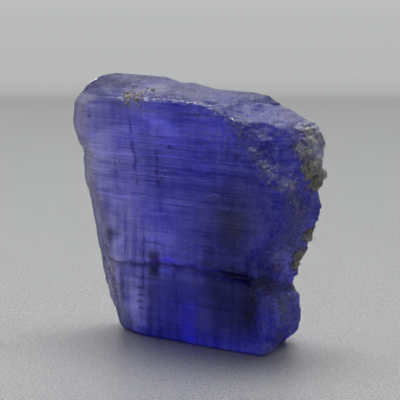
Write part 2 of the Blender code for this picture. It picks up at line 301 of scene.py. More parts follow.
# Slow colours, linear
FACE_TINT = np.array([0.33, 0.34, 0.5])
BACK_TINT = np.array([0.52, 0.51, 0.97])
LEFT_BACK_TINT = np.array([0.95, 0.93, 1.0])
LEFT_BACK_X = ((-6.5, 1.0), (-3.0, 0.0))
BACK_STAIN_SHARE = 0.5
# Noise that slowly mottles the back and the roof
SLOW_WAVES = (0.22, 0.35, 51)
BACK_MOTTLE = 0.4
ROOF_MOTTLE = 0.25
# The broad face's colours fade out from this Y backwards
FRONT_Y = -0.5
FRONT_FADE = 1.5
# The left rim's streaks end at this place round the section, and wander along X
RIM_END = 1.5
RIM_FADE = 0.3
RIM_WAVES = (0.5, 0.7, 55)
RIM_WAVINESS = 0.25
# How far the stains shift along X and Z for each millimetre that they run back through the stone
STAIN_SLANT = (0.36, 0.1)
ROOF_TINT = np.array([0.05, 0.05, 0.42])
CRUST_TINT = np.array([0.95, 0.90, 0.70])
# Painted shadow: a dark line at the foot of the walls, where the gap under the stone is in shade
BASE_SHADOW_TINT = np.array([0.004, 0.004, 0.03])
BASE_SHADOW_HEIGHT = 0.16
# The least tint just above the base, a painted glow that stands in for light coming through the stone there:
# blue along the broad face, greyer at its right corner
BASE_GLOW_TINT = np.array([0.008, 0.008, 0.14])
BASE_GLOW_BY_HEIGHT = ((0.4, 1.0), (2.0, 0.0))
BASE_CORNER_TINT = np.array([0.05, 0.055, 0.03])
BASE_CORNER_X = ((6.5, 0.0), (8.2, 1.0))
# The broken right side: its middle and half width round the section, and its colours by height
SIDE_MIDDLE = 2.6
SIDE_HALF_WIDTH = 0.5
SIDE_TINT_RED = (
    (0.0, 0.07), (3.0, 0.11), (4.4, 0.15), (5.0, 0.02), (5.6, 0.03), (6.4, 0.08), (8.5, 0.22), (12.0, 0.42),
    (16.0, 0.3), (20.0, 0.36),
)
SIDE_TINT_BLUE = (
    (0.0, 0.02), (3.0, 0.018), (4.4, 0.04), (5.0, 0.006), (5.6, 0.01), (6.4, 0.03), (8.5, 0.012),
    (12.0, 0.09), (16.0, 0.7), (20.0, 0.9),
)
# The stained band along the level crack, by X: its height, half height, strength, crispness and lines
BAND_Z = (
    (-9.0, 5.7), (-3.0, 6.3), (-0.3, 6.65), (3.3, 6.45), (7.0, 6.4), (7.9, 6.1), (8.15, 5.65), (8.6, 5.05),
    (9.1, 4.85), (9.8, 4.8),
)
BAND_HALF_HEIGHT = (
    (-9.0, 0.16), (-5.0, 0.32), (-2.0, 0.28), (0.0, 0.26), (3.0, 0.5), (5.5, 0.8), (7.9, 0.8), (8.2, 0.6),
    (8.7, 0.5), (9.2, 0.3),
)
BAND_STRENGTH = ((-9.0, 0.5), (-6.5, 0.85), (-4.0, 1.0), (9.5, 1.0))
BAND_CRISPNESS = ((-9.0, 1.6), (2.0, 2.0), (6.0, 4.0))
BAND_LINES = ((-9.0, 0.3), (2.0, 0.6), (6.0, 0.7))
BAND_WHOLENESS = ((0.0, 0.8), (5.0, 1.1))
BAND_BACK_SHARE = 0.25
# Noise that makes the band's edges ragged, draws lines along it and breaks it up
BAND_RAGGED = ((0.9, 1.1, 0.35, 52), (2.3, 2.3, 0.2, 53))
BAND_RAGGED_LEAST = 0.3
BAND_LOWER_CRISPNESS = 1.4
BAND_LINE_WAVES = ((0.35, 5.0, 1.0, 56), (0.8, 9.0, 0.6, 57))
BAND_LINE_LEVEL = 1.1
BAND_GAP_WAVES = (1.3, 3.0, 54)
BAND_GAPS = 0.35
BAND_VIOLET = np.array([0.02, 0.003, 0.10])
BAND_BLACK = np.array([0.0004, 0.0002, 0.004])
BAND_BLACK_X = ((2.5, 0.0), (6.0, 1.0))
# Upright hairline cracks on the broad face: X and Z of the top and of the bottom, width and darkness
CRACKS = (
    (-3.93, 18.7, -3.08, 13.0, 0.30, 0.95),
    (-1.18, 16.6, -0.78, 11.0, 0.30, 1.0),
    (-1.05, 19.3, -1.15, 17.2, 0.20, 0.6),
    (1.45, 19.4, 1.4, 17.9, 0.22, 0.5),
    (-5.6, 15.5, -5.3, 12.5, 0.18, 0.6),
    (-4.58, 10.6, -4.47, 7.0, 0.11, 0.9),
    (-2.51, 9.3, -2.50, 3.6, 0.15, 0.95),
)
CRACK_WIGGLE = 0.6
# Slant of the scratches on the broken surfaces, in degrees
SCRATCH_SLANT = -32.0
# Dark specks on the broad face: X, Z and radius
SPECKS = (
    (0.23, 16.58, 0.17), (-0.63, 16.73, 0.10), (-4.32, 16.91, 0.11), (-3.82, 16.40, 0.10),
    (-0.14, 14.22, 0.12), (-0.61, 13.95, 0.11), (-2.41, 13.48, 0.09), (2.31, 2.25, 0.13), (5.41, 15.76, 0.10),
)
SPECK_SPREAD = 1.5
SPECK_FLATNESS = 1.3
# How fast each wash fades from its middle
WASH_FALL = 1.5
# Each wash: name, X and Z of its middle, its reach along each, how crisp its rim is, strength and colour
FACE_WASHES = (
    ("lavender upper left", -8.0, 15.5, 6.5, 8.0, 1.0, 0.9, (0.88, 0.83, 1.0)),
    ("blue upper middle", 1.0, 18.0, 6.5, 4.2, 1.0, 0.75, (0.52, 0.54, 1.0)),
    ("blue under the ridge", 5.2, 18.6, 1.8, 1.6, 1.0, 0.7, (0.14, 0.16, 0.9)),
    ("deep blue right of middle", 3.6, 15.0, 3.0, 2.4, 1.0, 0.7, (0.08, 0.10, 0.55)),
    ("slate right", 6.6, 10.2, 4.6, 6.0, 1.0, 0.98, (0.019, 0.023, 0.009)),
    ("violet middle", -0.5, 10.6, 2.2, 2.0, 1.0, 0.5, (0.40, 0.34, 0.8)),
    ("pale rim", -8.6, 13.0, 1.2, 3.2, 1.0, 0.6, (1.0, 0.98, 1.0)),
    ("grey-lilac lower left", -6.8, 7.4, 2.6, 8.0, 1.0, 0.85, (0.92, 0.85, 0.95)),
    ("deep blue lower middle", 0.9, 2.6, 4.2, 4.2, 1.6, 0.98, (0.03, 0.032, 0.21)),
    ("dark lower right", 6.4, 3.4, 3.9, 4.2, 1.8, 0.98, (0.002, 0.0022, 0.05)),
    ("dark beside the corner", 7.9, 3.8, 1.1, 2.8, 1.3, 0.9, (0.0004, 0.0003, 0.006)),
    # The blue glow, glow streak and violet glow washes are painted light: the stone's inner reflections laid
    # on as surface colour
    ("blue glow", -1.2, 8.7, 1.7, 1.1, 1.4, 0.98, (1.0, 1.0, 1.0)),
    ("glow streak", -0.2, 8.6, 0.7, 0.16, 1.5, 0.95, (1.0, 1.0, 1.0)),
    ("glow stripe", -1.3, 8.3, 1.0, 0.12, 1.5, 0.8, (0.05, 0.08, 0.45)),
    ("glow stripe, lower", -1.2, 7.85, 1.0, 0.10, 1.5, 0.7, (0.06, 0.09, 0.45)),
    ("dark block", -1.4, 6.4, 0.70, 1.4, 3.0, 0.98, (0.0006, 0.0006, 0.012)),
    ("violet glow", 0.0, 6.95, 0.8, 0.35, 1.5, 0.8, (0.10, 0.03, 0.7)),
    ("light streak", -0.3, 6.0, 0.6, 0.2, 1.5, 0.85, (0.25, 0.35, 0.9)),
    ("vivid strip", 2.2, 1.6, 0.9, 2.8, 1.6, 0.75, (0.012, 0.010, 0.46)),
    ("lilac column", -3.6, 2.5, 0.5, 2.9, 2.0, 0.9, (1.0, 0.95, 1.0)),
    ("deep column", -1.7, 3.1, 0.55, 2.2, 2.0, 0.7, (0.003, 0.003, 0.07)),
    ("dark column", -5.0, 4.4, 0.35, 1.6, 1.5, 0.8, (0.05, 0.05, 0.2)),
    ("pale column", -5.0, 7.4, 0.6, 1.4, 2.0, 0.95, (1.0, 1.0, 1.0)),
    ("top rung", -2.95, 4.2, 0.50, 0.16, 1.5, 0.97, (0.004, 0.001, 0.08)),
    ("second rung", -2.85, 3.6, 0.42, 0.14, 1.5, 0.97, (0.004, 0.001, 0.08)),
    ("third rung", -2.95, 3.0, 0.50, 0.15, 1.5, 0.97, (0.004, 0.001, 0.08)),
    ("last rung", -2.8, 2.45, 0.40, 0.12, 1.5, 0.97, (0.004, 0.001, 0.08)),
    ("left blotch, upper", -6.6, 10.6, 0.5, 1.8, 1.5, 0.8, (0.07, 0.07, 0.2)),
    ("left blotch, lower", -6.0, 8.6, 0.9, 0.6, 1.5, 0.8, (0.06, 0.06, 0.18)),
    ("dark dot upper left", -8.4, 18.6, 0.25, 0.22, 1.5, 0.9, (0.01, 0.01, 0.1)),
    ("dark line by the specks", 2.4, 16.45, 2.6, 0.07, 1.5, 0.75, (0.05, 0.05, 0.35)),
    ("dark line under the brow", -1.0, 19.0, 1.9, 0.08, 1.5, 0.7, (0.06, 0.06, 0.4)),
    ("dark line left of it", -3.2, 18.5, 1.0, 0.07, 1.5, 0.7, (0.08, 0.08, 0.45)),
    ("dark line across", 0.5, 13.3, 4.0, 0.08, 1.5, 0.6, (0.06, 0.06, 0.3)),
    ("dark line, low", -2.5, 12.4, 3.0, 0.07, 1.5, 0.6, (0.08, 0.08, 0.35)),
)
# Spots on the broken facet and along the ridge, as in the table above
BROKEN_SPOTS = (
    ("dark pits", 8.9, 16.9, 0.6, 0.6, 1.0, 0.8, (0.02, 0.02, 0.14)),
    ("dark pits, lower", 9.4, 16.0, 0.6, 0.45, 1.0, 0.8, (0.02, 0.02, 0.14)),
    ("olive-dark spot", 6.95, 16.2, 0.28, 0.55, 1.5, 0.85, (0.012, 0.014, 0.03)),
    ("dark spot left of it", 6.0, 16.6, 0.25, 0.3, 1.5, 0.7, (0.02, 0.02, 0.06)),
    # Painted shade in the gap under the facet
    ("dark gap under the facet", 10.6, 14.1, 0.8, 0.2, 1.5, 0.9, (0.004, 0.004, 0.02)),
    ("pale brow of the facet", 9.0, 19.0, 1.6, 0.5, 1.0, 0.4, (0.8, 0.8, 1.0)),
    ("scratched patch", 10.2, 11.2, 0.9, 1.3, 1.0, 0.5, (0.14, 0.14, 0.24)),
    ("grey rough patch", 9.7, 8.9, 1.0, 1.1, 1.0, 0.6, (0.10, 0.10, 0.14)),
    ("violet lump in the crack", 8.9, 5.7, 0.3, 0.45, 1.5, 0.9, (0.25, 0.14, 0.9)),
    ("dark upright below the crack", 8.2, 3.7, 0.22, 1.9, 1.5, 0.95, (0.0003, 0.0001, 0.002)),
    ("haze low right", 9.3, 3.4, 0.75, 2.2, 1.4, 0.9, (0.55, 0.56, 0.62)),
    ("light patch low right", 9.2, 3.7, 0.3, 0.7, 1.2, 0.97, (1.0, 1.0, 1.0)),
)
# Streaks on the narrow facet at the left rim, as in the tables above
STRIP_STREAKS = (
    ("dark streak, top", -8.3, 11.4, 0.5, 1.5, 1.2, 0.85, (0.08, 0.08, 0.26)),
    ("dark streak", -7.5, 9.9, 0.6, 1.5, 1.2, 0.95, (0.03, 0.03, 0.13)),
    ("dark streak, end", -6.4, 8.3, 0.6, 1.1, 1.2, 0.95, (0.02, 0.02, 0.10)),
    # The grey gleam is a painted sheen
    ("grey gleam", -7.3, 6.9, 0.5, 1.1, 1.2, 0.95, (1.0, 1.0, 0.9)),
    ("pale block", -6.6, 4.7, 0.75, 1.6, 1.8, 0.98, (1.0, 1.0, 0.9)),
    ("pale block, low", -6.2, 2.4, 0.7, 1.4, 1.5, 0.95, (1.0, 1.0, 0.95)),
    ("dark seam beside it", -5.0, 3.6, 0.3, 2.2, 1.5, 0.9, (0.04, 0.03, 0.18)),
    ("dark blot on the rim", -8.2, 5.8, 0.35, 0.4, 1.2, 0.9, (0.03, 0.02, 0.14)),
)

# Noise patterns: waves per millimetre along X, Y and Z, detail, roughness, and slant where there is one
PATTERNS = {
    "long streaks": ((0.05, 0.05, 5.0), 4.0, 0.62),
    "fine streaks": ((0.30, 0.30, 14.0), 3.0, 0.65),
    "upright streaks": ((1.5, 1.5, 0.11), 3.0, 0.6),
    "patches": ((0.45, 0.45, 0.8), 3.0, 0.6),
    "clarity": ((0.28, 0.28, 0.4), 2.0, 0.5),
    "granules": ((2.6, 2.6, 2.6), 5.0, 0.8),
    "dashes": ((0.9, 0.9, 9.0), 2.0, 0.6),
    "crack gaps": ((0.5, 0.5, 1.6), 3.0, 0.6),
    "crack wiggle": ((0.15, 0.15, 1.1), 3.0, 0.6),
    "level lines": ((0.12, 0.12, 4.4), 3.0, 0.6),
    "roof lines": ((0.14, 1.6, 4.0), 3.0, 0.65),
    "scratches": ((1.2, 1.2, 7.0), 3.0, 0.65, SCRATCH_SLANT),
    "hollows": ((1.9, 1.9, 1.9), 3.0, 0.65),
    "ridge pit shade": ((5.0, 5.0, 5.0), 2.0, 0.6),
    "painted ridge glints": ((6.0, 6.0, 6.0), 2.0, 0.6),
    "roof furrows": ((0.25, 4.0, 9.0), 3.0, 0.65),
    "broken grain": ((3.2, 3.2, 3.2), 4.0, 0.7),
    "lint tone": ((3.0, 3.0, 3.0), 2.0, 0.5),
    "splinter gloss": ((6.0, 6.0, 6.0), 2.0, 0.5),
    "splinter relief": ((9.0, 9.0, 9.0), 2.0, 0.6),
    "rock mottle": ((2.2, 2.2, 2.2), 4.0, 0.65),
    "rock pits": ((4.5, 4.5, 4.5), 3.0, 0.6),
    "rock relief": ((9.0, 9.0, 9.0), 3.0, 0.7),
    "skin mottle": ((2.4, 2.4, 2.4), 4.0, 0.7),
    "skin pits": ((4.0, 4.0, 4.0), 3.0, 0.65),
    "skin specks": ((5.5, 5.5, 5.5), 2.0, 0.6),
    "skin relief": ((5.0, 5.0, 5.0), 4.0, 0.7),
    "floor speckle": ((4.5, 4.5, 4.5), 3.0, 0.85),
}
# Where a pattern's mark sets in and where it is full, and its strength at both if not 0 and 1
MARKS = {
    "clarity": (0.38, 0.6, 0.35, 1.0),
    "upright streaks": (0.3, 0.7, 0.25, 1.9),
    "granules": (0.34, 0.66, 0.2, 2.1),
    "dashes": (0.62, 0.72),
    "crack gaps": (0.36, 0.56, 0.15, 1.0),
    "level lines": (0.34, 0.27),
    "roof lines": (0.45, 0.36),
    "scratches": (0.56, 0.66),
    "hollows": (0.42, 0.33),
    "ridge pit shade": (0.56, 0.64),
    "painted ridge glints": (0.64, 0.70),
    "lint tone": (0.3, 0.7),
    "splinter gloss": (0.3, 0.7, 0.12, 0.3),
    "rock pits": (0.56, 0.66),
    "skin mottle": (0.3, 0.7, 0.55, 1.6),
    "skin pits": (0.56, 0.68, 0.0, 0.6),
    "skin specks": (0.63, 0.69, 0.0, 0.8),
    "floor speckle": (0.30, 0.70),
}

# The crystal's own marks, linear
GEM_INDEX = 1.69
ABSORBING_COLOUR = (0.10, 0.05, 0.995, 1.0)
ABSORBING_DENSITY = 200.0
FROST_LILAC, FROST_GREY = (0.80, 0.78, 1.0, 1.0), (0.80, 0.80, 0.55, 1.0)
DASH_WHITE, DASH_GREY = (0.9, 0.9, 1.0, 1.0), (0.9, 0.9, 0.65, 1.0)
SCRATCH_GREY, SCRATCH_LILAC = (0.75, 0.75, 0.40, 1.0), (0.75, 0.75, 0.95, 1.0)
LINE_BLUE = (0.006, 0.006, 0.10, 1.0)
# Painted shade in the hollows
HOLLOW_SHADE_BLUE = (0.008, 0.008, 0.06, 1.0)
# Painted shade in the ridge's pits, and painted glints on it
PIT_SHADE_BLACK = (0.01, 0.01, 0.03, 1.0)
PAINTED_GLINT_WHITE = (0.9, 0.88, 0.95, 1.0)
NOISE_RANGE = (0.3, 0.7)
BLUE_TONE_POWER = 0.4
SMOOTH_LEAN = 0.15
# Where marks fade in or out, in millimetres along X or Y or by height: from, to, and their strength at each
SMOOTH_BY_HEIGHT = (5.5, 12.0, 1.0, 0.0)
CALM_BY_HEIGHT = (16.5, 19.5)
CALM_X = (-4.0, 2.0, 0.5, 0.0)
UPRIGHT_Y = (-1.5, 0.5, 1.0, 0.25)
ROOF_ROUGH_X = (-1.0, 6.0, 0.12, 0.7)
TO_RIGHT_X = (3.0, 7.0)
FROST_BY_HEIGHT = (6.0, 16.0, 0.05, 0.55)
FROST_X = (3.0, 7.0, 1.0, 0.3)
DASHES_BY_HEIGHT = (8.0, 13.0, 0.0, 0.7)
BROAD_FACE_Y = (-2.6, -2.0, 1.0, 0.0)
LINES_BY_HEIGHT = (6.0, 9.0, 0.1, 0.9)
SCRATCHES_BY_HEIGHT = (6.5, 9.0)
SCRATCH_Y = (-4.0, -3.0, 0.05, 0.5)
LILAC_SCRATCHES_BY_HEIGHT = (11.0, 14.0)

# The studio in millimetres, with the camera square to its floor and backdrop
CAMERA_PLACE = (79.85, -113.487, 35.216)
CAMERA_PITCH = 80.3
CAMERA_YAW = 35.0
CAMERA_LENS = 147.6
SENSOR_WIDTH = 36.0
# The lens clips what is nearer than this, in metres
CLIP_START = 0.001
FLOOR_GAP = 0.02
FLOOR_HALF_WIDTH = 900.0
FLOOR_COLUMNS = 9
# Distances ahead of the camera along the floor, where its rows of points lie
FLOOR_ROWS = (-600.0, 0.0, 105.0, 118.0, 128.0, 138.0, 150.0, 250.0, 290.0, 318.0, 324.0, 330.0)
FOLD_START = 338.0
FOLD_RADIUS = 14.0
FOLD_STEPS = 24
WALL_ROW_HEIGHTS = (25.0, 35.0, 45.0, 80.0, 150.0, 260.0, 380.0, 500.0, 900.0)
WALL_FADE = (318.0, 352.0)
BACKDROP_GLOW = ((0.0, 0.48), (20.0, 0.50), (45.0, 0.85), (260.0, 0.85), (500.0, 0.4), (900.0, 0.3))
BACKDROP_COLOUR = (0.985, 0.995, 1.0, 1.0)
FLOOR_COLOUR = (0.197, 0.199, 0.202)
FLOOR_ROUGHNESS = 0.26
FLOOR_SPECKLE = (0.62, 1.38)
FLOOR_BUMP = 0.035
FLOOR_INDEX = 2.4
WORLD_COLOUR = (0.95, 0.97, 1.0, 1.0)
WORLD_STRENGTH = 0.17
OVERHEAD_ENERGY = 2.4
# The overhead light's size, place and aim, in metres
OVERHEAD_SIZE = (0.34, 0.24)
OVERHEAD_PLACE = (-0.09, 0.13, 0.36)
OVERHEAD_AIM = (-0.03, 0.04, 0.0)


def along(pairs, at):
    """Straight-line value of (position, value) pairs at the positions asked for."""
    where, value = zip(*pairs)
    return np.interp(at, where, value)


def hashed(ix, iy, iz, seed):
    """A fixed pseudo-random number from 0 to 1 for each lattice point."""
    mixed = ix * 374761393 + iy * 668265263 + iz * 2147483647 + seed * 974711
    mixed = (mixed ^ (mixed >> 13)) * 1274126177
    return ((mixed ^ (mixed >> 16)) & 0xFFFFFF) / float(0xFFFFFF)


def value_noise(x, y, z, seed):
    """Smooth noise from -1 to 1: the lattice values round each point, blended by smoothsteps."""
    cell = [np.floor(c).astype(np.int64) for c in (x, y, z)]
    part = [c - f for c, f in zip((x, y, z), cell)]
    blend = [p * p * (3.0 - 2.0 * p) for p in part]
    total = np.zeros(x.shape)
    for dx in (0, 1):
        for dy in (0, 1):
            for dz in (0, 1):
                weight = 1.0
                for b, d in zip(blend, (dx, dy, dz)):
                    weight = weight * (b if d else 1.0 - b)
                total += weight * hashed(cell[0] + dx, cell[1] + dy, cell[2] + dz, seed)
    return 2.0 * total - 1.0


def waves(x, y, z, level, up, seed):
    """Smooth noise with its own number of cells per millimetre along X and Y, and another up Z."""
    return value_noise(level * x, level * y, up * z, seed)


def away_share(x, y, z, middle, reach):
    """The squared distance of each point from a middle, counted in squared reaches."""
    return ((x - middle[0]) ** 2 + (y - middle[1]) ** 2 + (z - middle[2]) ** 2) / reach ** 2


def blended(first, second, share):
    """The first value where the share is 0, the second where it is 1, and a straight mix between."""
    return first * (1.0 - share) + second * share


def within(s, ends):
    """Whether each place round the section lies between two others."""
    return (s > ends[0]) & (s < ends[1])


def two_tone(red_by_height, blue_by_height, z):
    """A colour by height with as much green as red."""
    red, blue = along(red_by_height, z), along(blue_by_height, z)
    return np.stack([red, red, blue], axis=-1)


def corner_table(z):
    """X and Y of the section's seven corners at each height, anticlockwise seen from above."""
    left = along(LEFT_RIM_X, z)
    edge = along(FACE_EDGE_X, z)
    right = along(RIGHT_RIM_X, z)
    back = along(BACK_Y, z)
    rim = along(LEFT_RIM_Y, z)
    same = np.ones_like(z)
    corner_x = (left, left + FACE_BEVEL_WIDTH, edge, right, right - BACK_CORNER_INSET,
                left + BACK_WEDGE_WIDTH, left + LEFT_RIM_INSET)
    corner_y = (rim, FACE_Y * same, FACE_Y * same, RIGHT_RIM_Y * same,
                back - BACK_CORNER_SETBACK, back, rim + LEFT_RIM_THICKNESS)
    return np.array(corner_x), np.array(corner_y)


def section(s, z):
    """X and Y on the section at height z, where s counts corners round it from 0 to 7."""
    corner_x, corner_y = corner_table(z)
    corners = len(EDGE_COLUMNS)
    whole = np.minimum(np.floor(s).astype(int), corners - 1)
    part = s - whole
    after = (whole + 1) % corners
    pick = np.arange(z.size)
    x = corner_x[whole, pick] * (1.0 - part) + corner_x[after, pick] * part
    y = corner_y[whole, pick] * (1.0 - part) + corner_y[after, pick] * part
    return x, y


def shoulder(s):
    """The height where each column's wall ends."""
    middle = np.exp(-((s - SHOULDER_RISE_AT) / SHOULDER_RISE_SPREAD) ** 2)
    return SHOULDER_Z + SHOULDER_RISE * middle


def crest_share(s):
    """How far along the crest each column ends, the same for the front column and the back one it meets."""
    half = s[:s.size // 2 + 1]
    x, _ = section(half, np.full(half.size, SHOULDER_Z))
    front = (x - x[0]) / (x[-1] - x[0])
    return np.concatenate([front, front[-2:0:-1]])


def crest_point(share):
    """A point on the crest line, from its left end to its right end."""
    x, y, z = zip(*CREST)
    at = x[0] + share * (x[-1] - x[0])
    return at, np.interp(at, x, y), np.interp(at, x, z)


def crack_cut(x, z, s):
    """How deep the level crack cuts in at each point: a smooth groove, shallower round the back."""
    away = (z - along(CRACK_Z, x)) / CRACK_HALF_HEIGHT
    side = np.where(s < CRACK_BACK_START, 1.0, CRACK_BACK_SHARE)
    return side * along(CRACK_DEPTH, x) * np.exp(-away ** 2)


def bowl_cut(x, y, z, bowls):
    """How deep bowl-shaped breaks cut in at each point: a paraboloid inside each radius."""
    cut = np.zeros_like(x)
    for *middle, radius, depth in bowls:
        share = away_share(x, y, z, middle, radius)
        cut = np.maximum(cut, depth * np.clip(1.0 - share, 0.0, 1.0))
    return cut


def ledge_push(x, y, z, s):
    """The ledges: flat bands that step in and out with height and hardly change along the face."""
    random = np.random.default_rng(LEDGE_SEED)
    gaps = random.uniform(*LEDGE_GAPS, size=LEDGE_COUNT)
    heights = np.cumsum(gaps) / gaps.sum() * SHOULDER_Z
    reach = random.uniform(-1.0, 1.0, size=LEDGE_COUNT)
    wander = LEDGE_WANDER * waves(x, y, z, *LEDGE_WAVES)
    band = np.clip(np.searchsorted(heights, z + wander), 0, LEDGE_COUNT - 1)
    strength = np.where(within(s, BACK_LEDGES_ROUND), BACK_LEDGE_REACH, LEDGE_REACH)
    return np.where(within(s, NO_LEDGES_ROUND), 0.0, strength * reach[band])


def lump_push(x, y, z, s):
    """The lumps of the broken sides: two sizes of smooth noise."""
    large = value_noise(x / LUMP_PITCH, y / LUMP_PITCH, z / LUMP_PITCH, 1)
    small = value_noise(x / SMALL_LUMP_PITCH, y / SMALL_LUMP_PITCH, z / SMALL_LUMP_PITCH, 2)
    return along(LUMP_REACH, s) * (large + 0.5 * small)


def outward(x, y, z):
    """Unit directions in the XY plane from the spine to each point."""
    low = along(LEFT_RIM_X, z) + SPINE_LEFT_INSET
    high = along(RIGHT_RIM_X, z) - SPINE_RIGHT_INSET
    away_x, away_y = x - np.clip(x, low, high), y - SPINE_Y
    length = np.hypot(away_x, away_y)
    return away_x / length, away_y / length


def column_places():
    """Values of s for the columns, evenly spaced between neighbouring corners, without the closing one."""
    runs = [corner + np.arange(count) / count for corner, count in enumerate(EDGE_COLUMNS)]
    return np.concatenate(runs)


def softened(grid, times, axis):
    """Each point averaged with its two neighbours, which rounds corners; columns wrap round, rows don't."""
    for _ in range(times):
        if axis == 1:
            grid = (np.roll(grid, 1, 1) + 2.0 * grid + np.roll(grid, -1, 1)) / 4.0
        else:
            inner = (grid[:-2] + 2.0 * grid[1:-1] + grid[2:]) / 4.0
            grid = np.concatenate([grid[:1], inner, grid[-1:]])
    return grid


def worn(grid, share, times, axis):
    """Softening repeated where share is 1 and left out where it is 0."""
    for _ in range(times):
        grid = grid + share * (softened(grid, 1, axis) - grid)
    return grid


def crust_bulge(x, y, z):
    """How far the skin swells out over the pale grains high on the right: the tallest of round bumps."""
    swell = np.zeros_like(x)
    for *middle, radius in SKINNED_GRAINS:
        swell = np.maximum(swell, SKIN_SWELL * np.exp(-away_share(x, y, z, middle, radius)))
    return swell


def wall_points(s):
    """Rows of points up the walls, each row one section pushed in and out by its features."""
    rows = np.arange(WALL_ROWS + 1) / WALL_ROWS
    grid_s = np.tile(s, (WALL_ROWS + 1, 1))
    z = np.outer(rows, shoulder(s))
    x, y = (flat.reshape(z.shape) for flat in section(grid_s.ravel(), z.ravel()))
    flat = softened(np.stack([x, y], axis=-1), CORNER_SOFTENING, 1)
    share = sum(np.exp(-((s - corner) / reach) ** 2) for corner, reach in WORN_CORNERS)
    flat = worn(flat, share[:, None], WORN_ROUNDS, 1)
    x, y = flat[..., 0], flat[..., 1]
    out_x, out_y = outward(x, y, z)
    push = lump_push(x, y, z, grid_s) + ledge_push(x, y, z, grid_s) + crust_bulge(x, y, z)
    undercut = UNDERCUT_DEPTH * np.exp(-(z / UNDERCUT_HEIGHT) ** 2)
    push -= crack_cut(x, z, grid_s) + bowl_cut(x, y, z, BOWLS) + undercut
    return np.stack([x + push * out_x, y + push * out_y, z], axis=-1)


def roof_points(s, shoulder_row):
    """Rows of points over the roof: straight lines from the shoulder to the crest, with lumps and a bowl."""
    crest = np.stack(crest_point(crest_share(s)), axis=-1)
    share = ((np.arange(ROOF_ROWS) + 1) / ROOF_ROWS)[:, None, None]
    roof = shoulder_row * (1.0 - share) + crest * share
    x, y, z = roof[..., 0], roof[..., 1], roof[..., 2]
    swell = np.sin(np.pi * share[..., 0])
    lumps = value_noise(0.6 * x, 1.6 * y, 0.0 * z, 4)
    roof[..., 2] += swell * (ROOF_LUMP_REACH * lumps - bowl_cut(x, y, z, BOWLS))
    return roof


def grid_normals(grid):
    """Unit normals of a grid of points: the cross product of its steps along the columns and up the rows."""
    across = np.roll(grid, -1, 1) - np.roll(grid, 1, 1)
    up = np.gradient(grid, axis=0)
    normal = np.cross(across, up)
    length = np.linalg.norm(normal, axis=-1, keepdims=True)
    return normal / np.maximum(length, 1e-9)


def smooth_normals(grid):
    """The grid's unit normals once its points are softened both ways."""
    return grid_normals(softened(softened(grid, NORMAL_SMOOTHING, 1), NORMAL_SMOOTHING, 0))


def scattered_bowls(grid, chance, count, radius, depth_share, seed):
    """Small bowls centred on points of the grid picked by chance, with radii in a range."""
    random = np.random.default_rng(seed)
    points = grid.reshape(-1, 3)
    weight = chance.ravel() / chance.sum()
    centres = points[random.choice(len(points), size=count, p=weight)]
    radii = radius[0] * (radius[1] / radius[0]) ** random.random(count)
    depths = radii * random.uniform(*depth_share, size=count)
    return np.column_stack([centres, radii, depths])


def near_bowl_cut(grid, bowls):
    """The deepest of many small bowls at each grid point, each looked up only in the rows that it spans."""
    cut = np.zeros(grid.shape[:2])
    row_low = grid[..., 2].min(axis=1)
    row_high = grid[..., 2].max(axis=1)
    for bowl_x, bowl_y, bowl_z, radius, depth in bowls:
        rows = np.nonzero((row_high > bowl_z - radius) & (row_low < bowl_z + radius))[0]
        block = slice(rows[0], rows[-1] + 1)
        offset = grid[block] - (bowl_x, bowl_y, bowl_z)
        share = (offset ** 2).sum(axis=-1) / radius ** 2
        cut[block] = np.maximum(cut[block], depth * np.clip(1.0 - share, 0.0, 1.0))
    return cut


def stria_push(x, y, z):
    """Striations: noise of three sizes, long along X and Y and short up Z, less narrow grooves."""
    lines = sum(reach * waves(x, y, z, level, up, seed) for level, up, reach, seed in STRIAE)
    groove = np.clip(1.0 - GROOVE_SHARPNESS * np.abs(waves(x, y, z, *GROOVE_WAVES)), 0.0, 1.0)
    return lines - GROOVE_REACH * groove


def washes(tint, x, z, table):
    """Soft tints laid over one another: each is an ellipse that fades from its middle to its rim."""
    for _, wash_x, wash_z, reach_x, reach_z, crispness, strength, colour in table:
        power = 2.0 * crispness
        away = np.abs((x - wash_x) / reach_x) ** power + np.abs((z - wash_z) / reach_z) ** power
        share = (strength * np.exp(-WASH_FALL * away))[..., None]
        tint = blended(tint, np.array(colour), share)
    return tint


def crumb_patch(points):
    """How close each point is to the crumb patch: a round-topped bump from 0 to 1."""
    offset = (points - CRUMB_PATCH[:3]) ** 2 / np.array(CRUMB_PATCH[3:]) ** 2
    return np.exp(-offset.sum(axis=-1))


def plain_grid():
    """All rows from the base ring to the crest, without fine relief, and each point's place round them."""
    s = column_places()
    walls = wall_points(s)
    grid = np.concatenate([walls, roof_points(s, walls[-1])])
    brow = np.exp(-((np.arange(len(grid)) - WALL_ROWS) / BROW_ROWS) ** 2)
    return worn(grid, brow[:, None, None], BROW_ROUNDS, 0), np.tile(s, (len(grid), 1))


